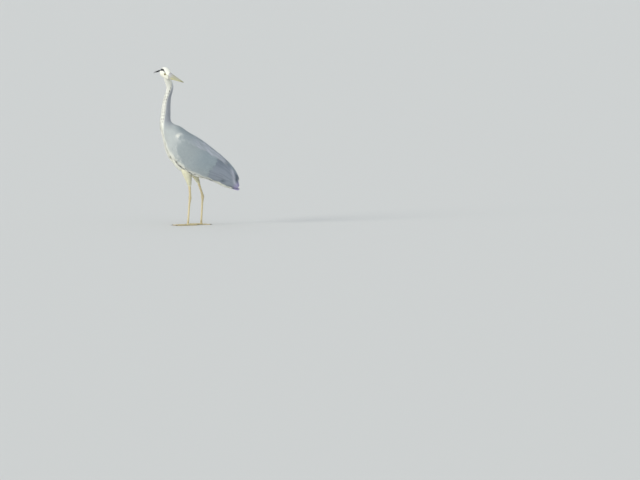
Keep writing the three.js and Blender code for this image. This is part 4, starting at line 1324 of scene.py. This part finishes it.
irisLook = {"inner": (0.5, 0.28, 0.02, 1), "outer": (0.78, 0.58, 0.07, 1), "edge": (0.28, 0.14, 0.01, 1),
            "rim": (0.03, 0.025, 0.02, 1), "pupil": (0.004, 0.004, 0.005, 1)}


def makeEyes():
    # gaze holds the distance from the pupil's middle over the ball (mm) and the way round it
    made, tree, shader = newMaterial("heronEye", Roughness=0.06, Coat_Weight=1.0, Coat_Roughness=0.02)
    gaze = addNode(tree, "ShaderNodeAttribute", attribute_name="gaze").outputs["Vector"]
    distance = addNode(tree, "ShaderNodeSeparateXYZ", {0: gaze}).outputs[0]
    rays = addNode(tree, "ShaderNodeTexNoise", {"Vector": gaze, "Scale": 5.0, "Detail": 4})
    iris = mixColour(tree, rays.outputs["Fac"], irisLook["inner"], irisLook["outer"])
    for key, start, full in (("edge", 4.2, 4.9), ("rim", 5.0, 5.4), ("pupil", 3.2, 3.05)):
        iris = mixColour(tree, smoothRange(tree, distance, start, full), iris, irisLook[key])
    feed(tree, shader, {"Base Color": iris})
    for side, hand in sides.items():
        angle, turn = np.linspace(0, math.pi, 49)[1:-1, None], ringAngles(48)
        radius = eyeLook["radius"] * mm
        aside = radius * np.sin(angle)
        ahead = radius * np.cos(angle) * (1 + 0.05 * bump(angle, 0, 0.55))
        local = stacked(aside * np.cos(turn), ahead, aside * np.sin(turn))
        place = stacked(radius * angle / mm, 2 * np.cos(turn), 2 * np.sin(turn))
        shape, places = tinted(fromHead(intoSocket(local, hand)), place)
        ball = meshObject(f"eyeball_{side}", *shape)
        setValues(ball, "gaze", "FLOAT_VECTOR", places)
        finishPiece(ball, made, "eye", [f"eye_{side}"])


makeEyes()


clawLook = {"length": 14.5, "overlap": 1.5, "root": 2.2, "point": 0.3, "arch": 1.7,
            "dull": paint(120, 110, 90), "dark": paint(48, 44, 40)}


def makeClaws():
    # a tapered tube arched down to the floor from the toe's end
    t, a = np.linspace(0, 1, 14)[:, None], ringAngles(16)
    radius = mix(clawLook["root"], clawLook["point"], t**1.2) * mm
    shade = blend(clawLook["dull"], clawLook["dark"], rise(t, 0, 0.7))
    for side, hand in sides.items():
        found = []
        for toe in toeSizes.values():
            root = toe["wide"] * toeTaper * toeHeight * 0.5
            middle = (mix(root, 0.9, t) + clawLook["arch"] * np.sin(t * math.pi)) * mm
            x = (toe["length"] - clawLook["overlap"] + clawLook["length"] * t) * mm
            z = np.maximum(middle + np.sin(a) * radius, 0.05 * mm)
            grid = splayed(stacked(x, np.cos(a) * radius * 0.8, z), toe, hand) + footPlace(side)
            found.append(tinted(grid, np.broadcast_to(shade, grid.shape)))
        tubes, colours = zip(*found)
        nodes = [f"claw_{name}_{side}" for name in toeSizes]
        tintedPiece(f"claws_{side}", joined(tubes), np.concatenate(colours), materials["claw"],
                    "claw_horn", nodes)


makeClaws()

scuteLook = {"columns": 5, "outline": (0.2, 0.2), "thick": 0.05 * mm, "sink": 0.12 * mm,
             "lift": 0.14 * mm, "roll": 0.0, "rollSpread": 0.01, "scatter": 0.02,
             "stagger": 0.01 * mm, "camber": 0.08, "crowd": 1.0}
scuteSizes = {"shield": 4.8, "shieldHalf": 2.6, "small": 2.9, "smallHalf": 1.5, "band": 2.9,
              "worn": paint(186, 170, 122), "wornBand": paint(168, 156, 118)}


def scuteTone(at, around, chance):
    return blend(legTone(legPoint("left", at, around)[..., 2]), scuteSizes["worn"], 0.35 * chance)


def bandTone(at, around, chance):
    return blend(skinLook["toe"], scuteSizes["wornBand"], 0.4 * chance)


def toeTop(side, hand, toe):
    return Surface(lambda u, v: splayed(toeShape(toe, u, v), toe, hand) + footPlace(side), 0.01, 2)


def legScutes():
    # a row of broad shields down the front of each bare leg, small scales round the rest of it and
    # bands across the top of each toe
    found = []
    small, shield, band = (scuteSizes[key] for key in ("small", "shield", "band"))
    halves = scuteSizes["smallHalf"] * mm, scuteSizes["shieldHalf"] * mm
    for side, hand in sides.items():
        rng = np.random.default_rng(71)
        surface = legSurface(side)
        u, v = rootsOver(surface, (4.7, 12.55), (210, 510), [small * 0.85] * 2, [small * 0.9] * 2, rng, 0.1)
        look = dict(scuteLook, rows=5, columns=3)
        found.append(vanes(surface, u, v, small * 1.2 * mm, halves[0], look, scuteTone, rng))
        u, v = rootsOver(surface, (4.7, 12.45), (150, 210), [shield * 0.8] * 2, (20, 20), rng, 0.0)
        found.append(vanes(surface, u, 180 + 0 * v, shield * mm, halves[1], scuteLook, scuteTone, rng))
        look = dict(scuteLook, columns=9, outline=(0.12, 0.12), camber=0.0)
        for toe in toeSizes.values():
            u = np.arange(0.03, 0.97, band / toe["length"])
            half = toe["wide"] * mix(1.15, 0.8, u) * mm
            found.append(vanes(toeTop(side, hand, toe), u, 90 + 0 * u, band * 1.25 * mm, half, look,
                               bandTone, rng))
    for number, batch in enumerate(found):
        batch["spot"] = batch["spot"] / [1, 360] + [20 * number, 0]
    return found


coatPiece("leg_scutes", legScutes(), materials["scute"], "leg_skin")


crestLook = dict(scapularLook, sink=0.4 * mm, lift=0.4 * mm, stagger=0.8 * mm, perPoint=False, flat=False)
crestSize = {"count": 34, "long": 84, "short": 20}


def crestPlumes():
    count = crestSize["count"]
    for side, hand in sides.items():
        rng = np.random.default_rng(61 + hand)
        surface = Surface(lambda a, b: crestPoint(a, b, hand), 0.02, 0.2 * mm, outward=-1)
        u = rng.uniform(0, 0.08, count)
        short = np.linspace(0, 1, count) ** 0.7
        v = rng.uniform(-1, 1, count) * mix(1.4, 3.6, short) * mm
        length = mix(crestSize["long"], crestSize["short"], short) * rng.uniform(0.8, 1, count) * mm
        half = mix(2.2, 1.7, short) * mm
        batch = vanes(surface, u, v, length, half, crestLook, plainTone("black"), rng)
        coatPiece(f"plumes_{side}", [batch], materials["neck"], "black_plumage", [f"crest_{side}"])


def crestPoint(u, v, hand):
    # a drooping line back from the nape: z = z0 + arch * sin(pi t) - droop * t
    u, v = paired(u, v)
    x = (-29 - 77 * u) * mm
    y = hand * (4.5 + 8 * u) * mm + v
    z = (6 + 5 * np.sin(np.clip(u, 0, 1) * math.pi) - 42 * u) * mm
    return fromHead(stacked(x, y, z - 0.15 * v**2 / mm))


crestPlumes()


stageLook = {"floor": (0.62, 0.62, 0.6, 1), "sky": (0.9, 0.95, 1.0, 1), "skyStrength": 0.78, "reach": 400}
# Each light: name, the way to it, strength, width (degrees) and colour.
lightLooks = [
    ("keyLight", (-1.0, -0.7, 0.42), 1.95, 25, (1.0, 0.97, 0.9)),
    ("topLight", (0.3, -0.4, 1.0), 0.25, 60, (0.92, 0.96, 1.0)),
]


def aimed(made, back):
    made.rotation_mode = "QUATERNION"
    made.rotation_quaternion = Vector(back).to_track_quat("Z", "Y")


def setStage():
    turn, reach = ringAngles(64)[0], stageLook["reach"]
    points = np.concatenate([stacked(reach * np.cos(turn), reach * np.sin(turn), 0), [[0, 0, 0]]])
    k = np.arange(len(turn))
    made = meshObject("floor", points, stacked(k, (k + 1) % len(turn), len(turn)))
    made.data.materials.append(newMaterial("paleFloor", Roughness=0.9, Base_Color=stageLook["floor"])[0])
    world = bpy.data.worlds.new("studio")
    bpy.context.scene.world = world
    world.use_nodes = True
    values = {"Color": stageLook["sky"], "Strength": stageLook["skyStrength"]}
    feed(world.node_tree, world.node_tree.nodes["Background"], values)
    for name, back, energy, width, colour in lightLooks:
        data = bpy.data.lights.new(name, "SUN")
        data.energy, data.angle, data.color = energy, math.radians(width), colour
        aimed(placed(name, data), back)


cameraLook = {"distance": 20.0, "elevation": 4.0, "frameWidth": 3.52, "aimX": 0.668, "aimZ": -0.082}


def setCamera():
    data = bpy.data.cameras.new("camera")
    data.sensor_width = 36
    data.lens = data.sensor_width * cameraLook["distance"] / cameraLook["frameWidth"]
    data.clip_start, data.clip_end = 0.1, 1000
    camera = placed("camera", data)
    lift = math.radians(cameraLook["elevation"])
    back = Vector((0, -math.cos(lift), math.sin(lift)))
    aim = Vector((cameraLook["aimX"] + shift[0], shift[1], cameraLook["aimZ"]))
    camera.location = aim + back * cameraLook["distance"]
    aimed(camera, back)
    bpy.context.scene.camera = camera


setStage()
setCamera()
bpy.context.scene.view_settings.view_transform = "Standard"
print("stage: total", sum(triangleCount.values()))
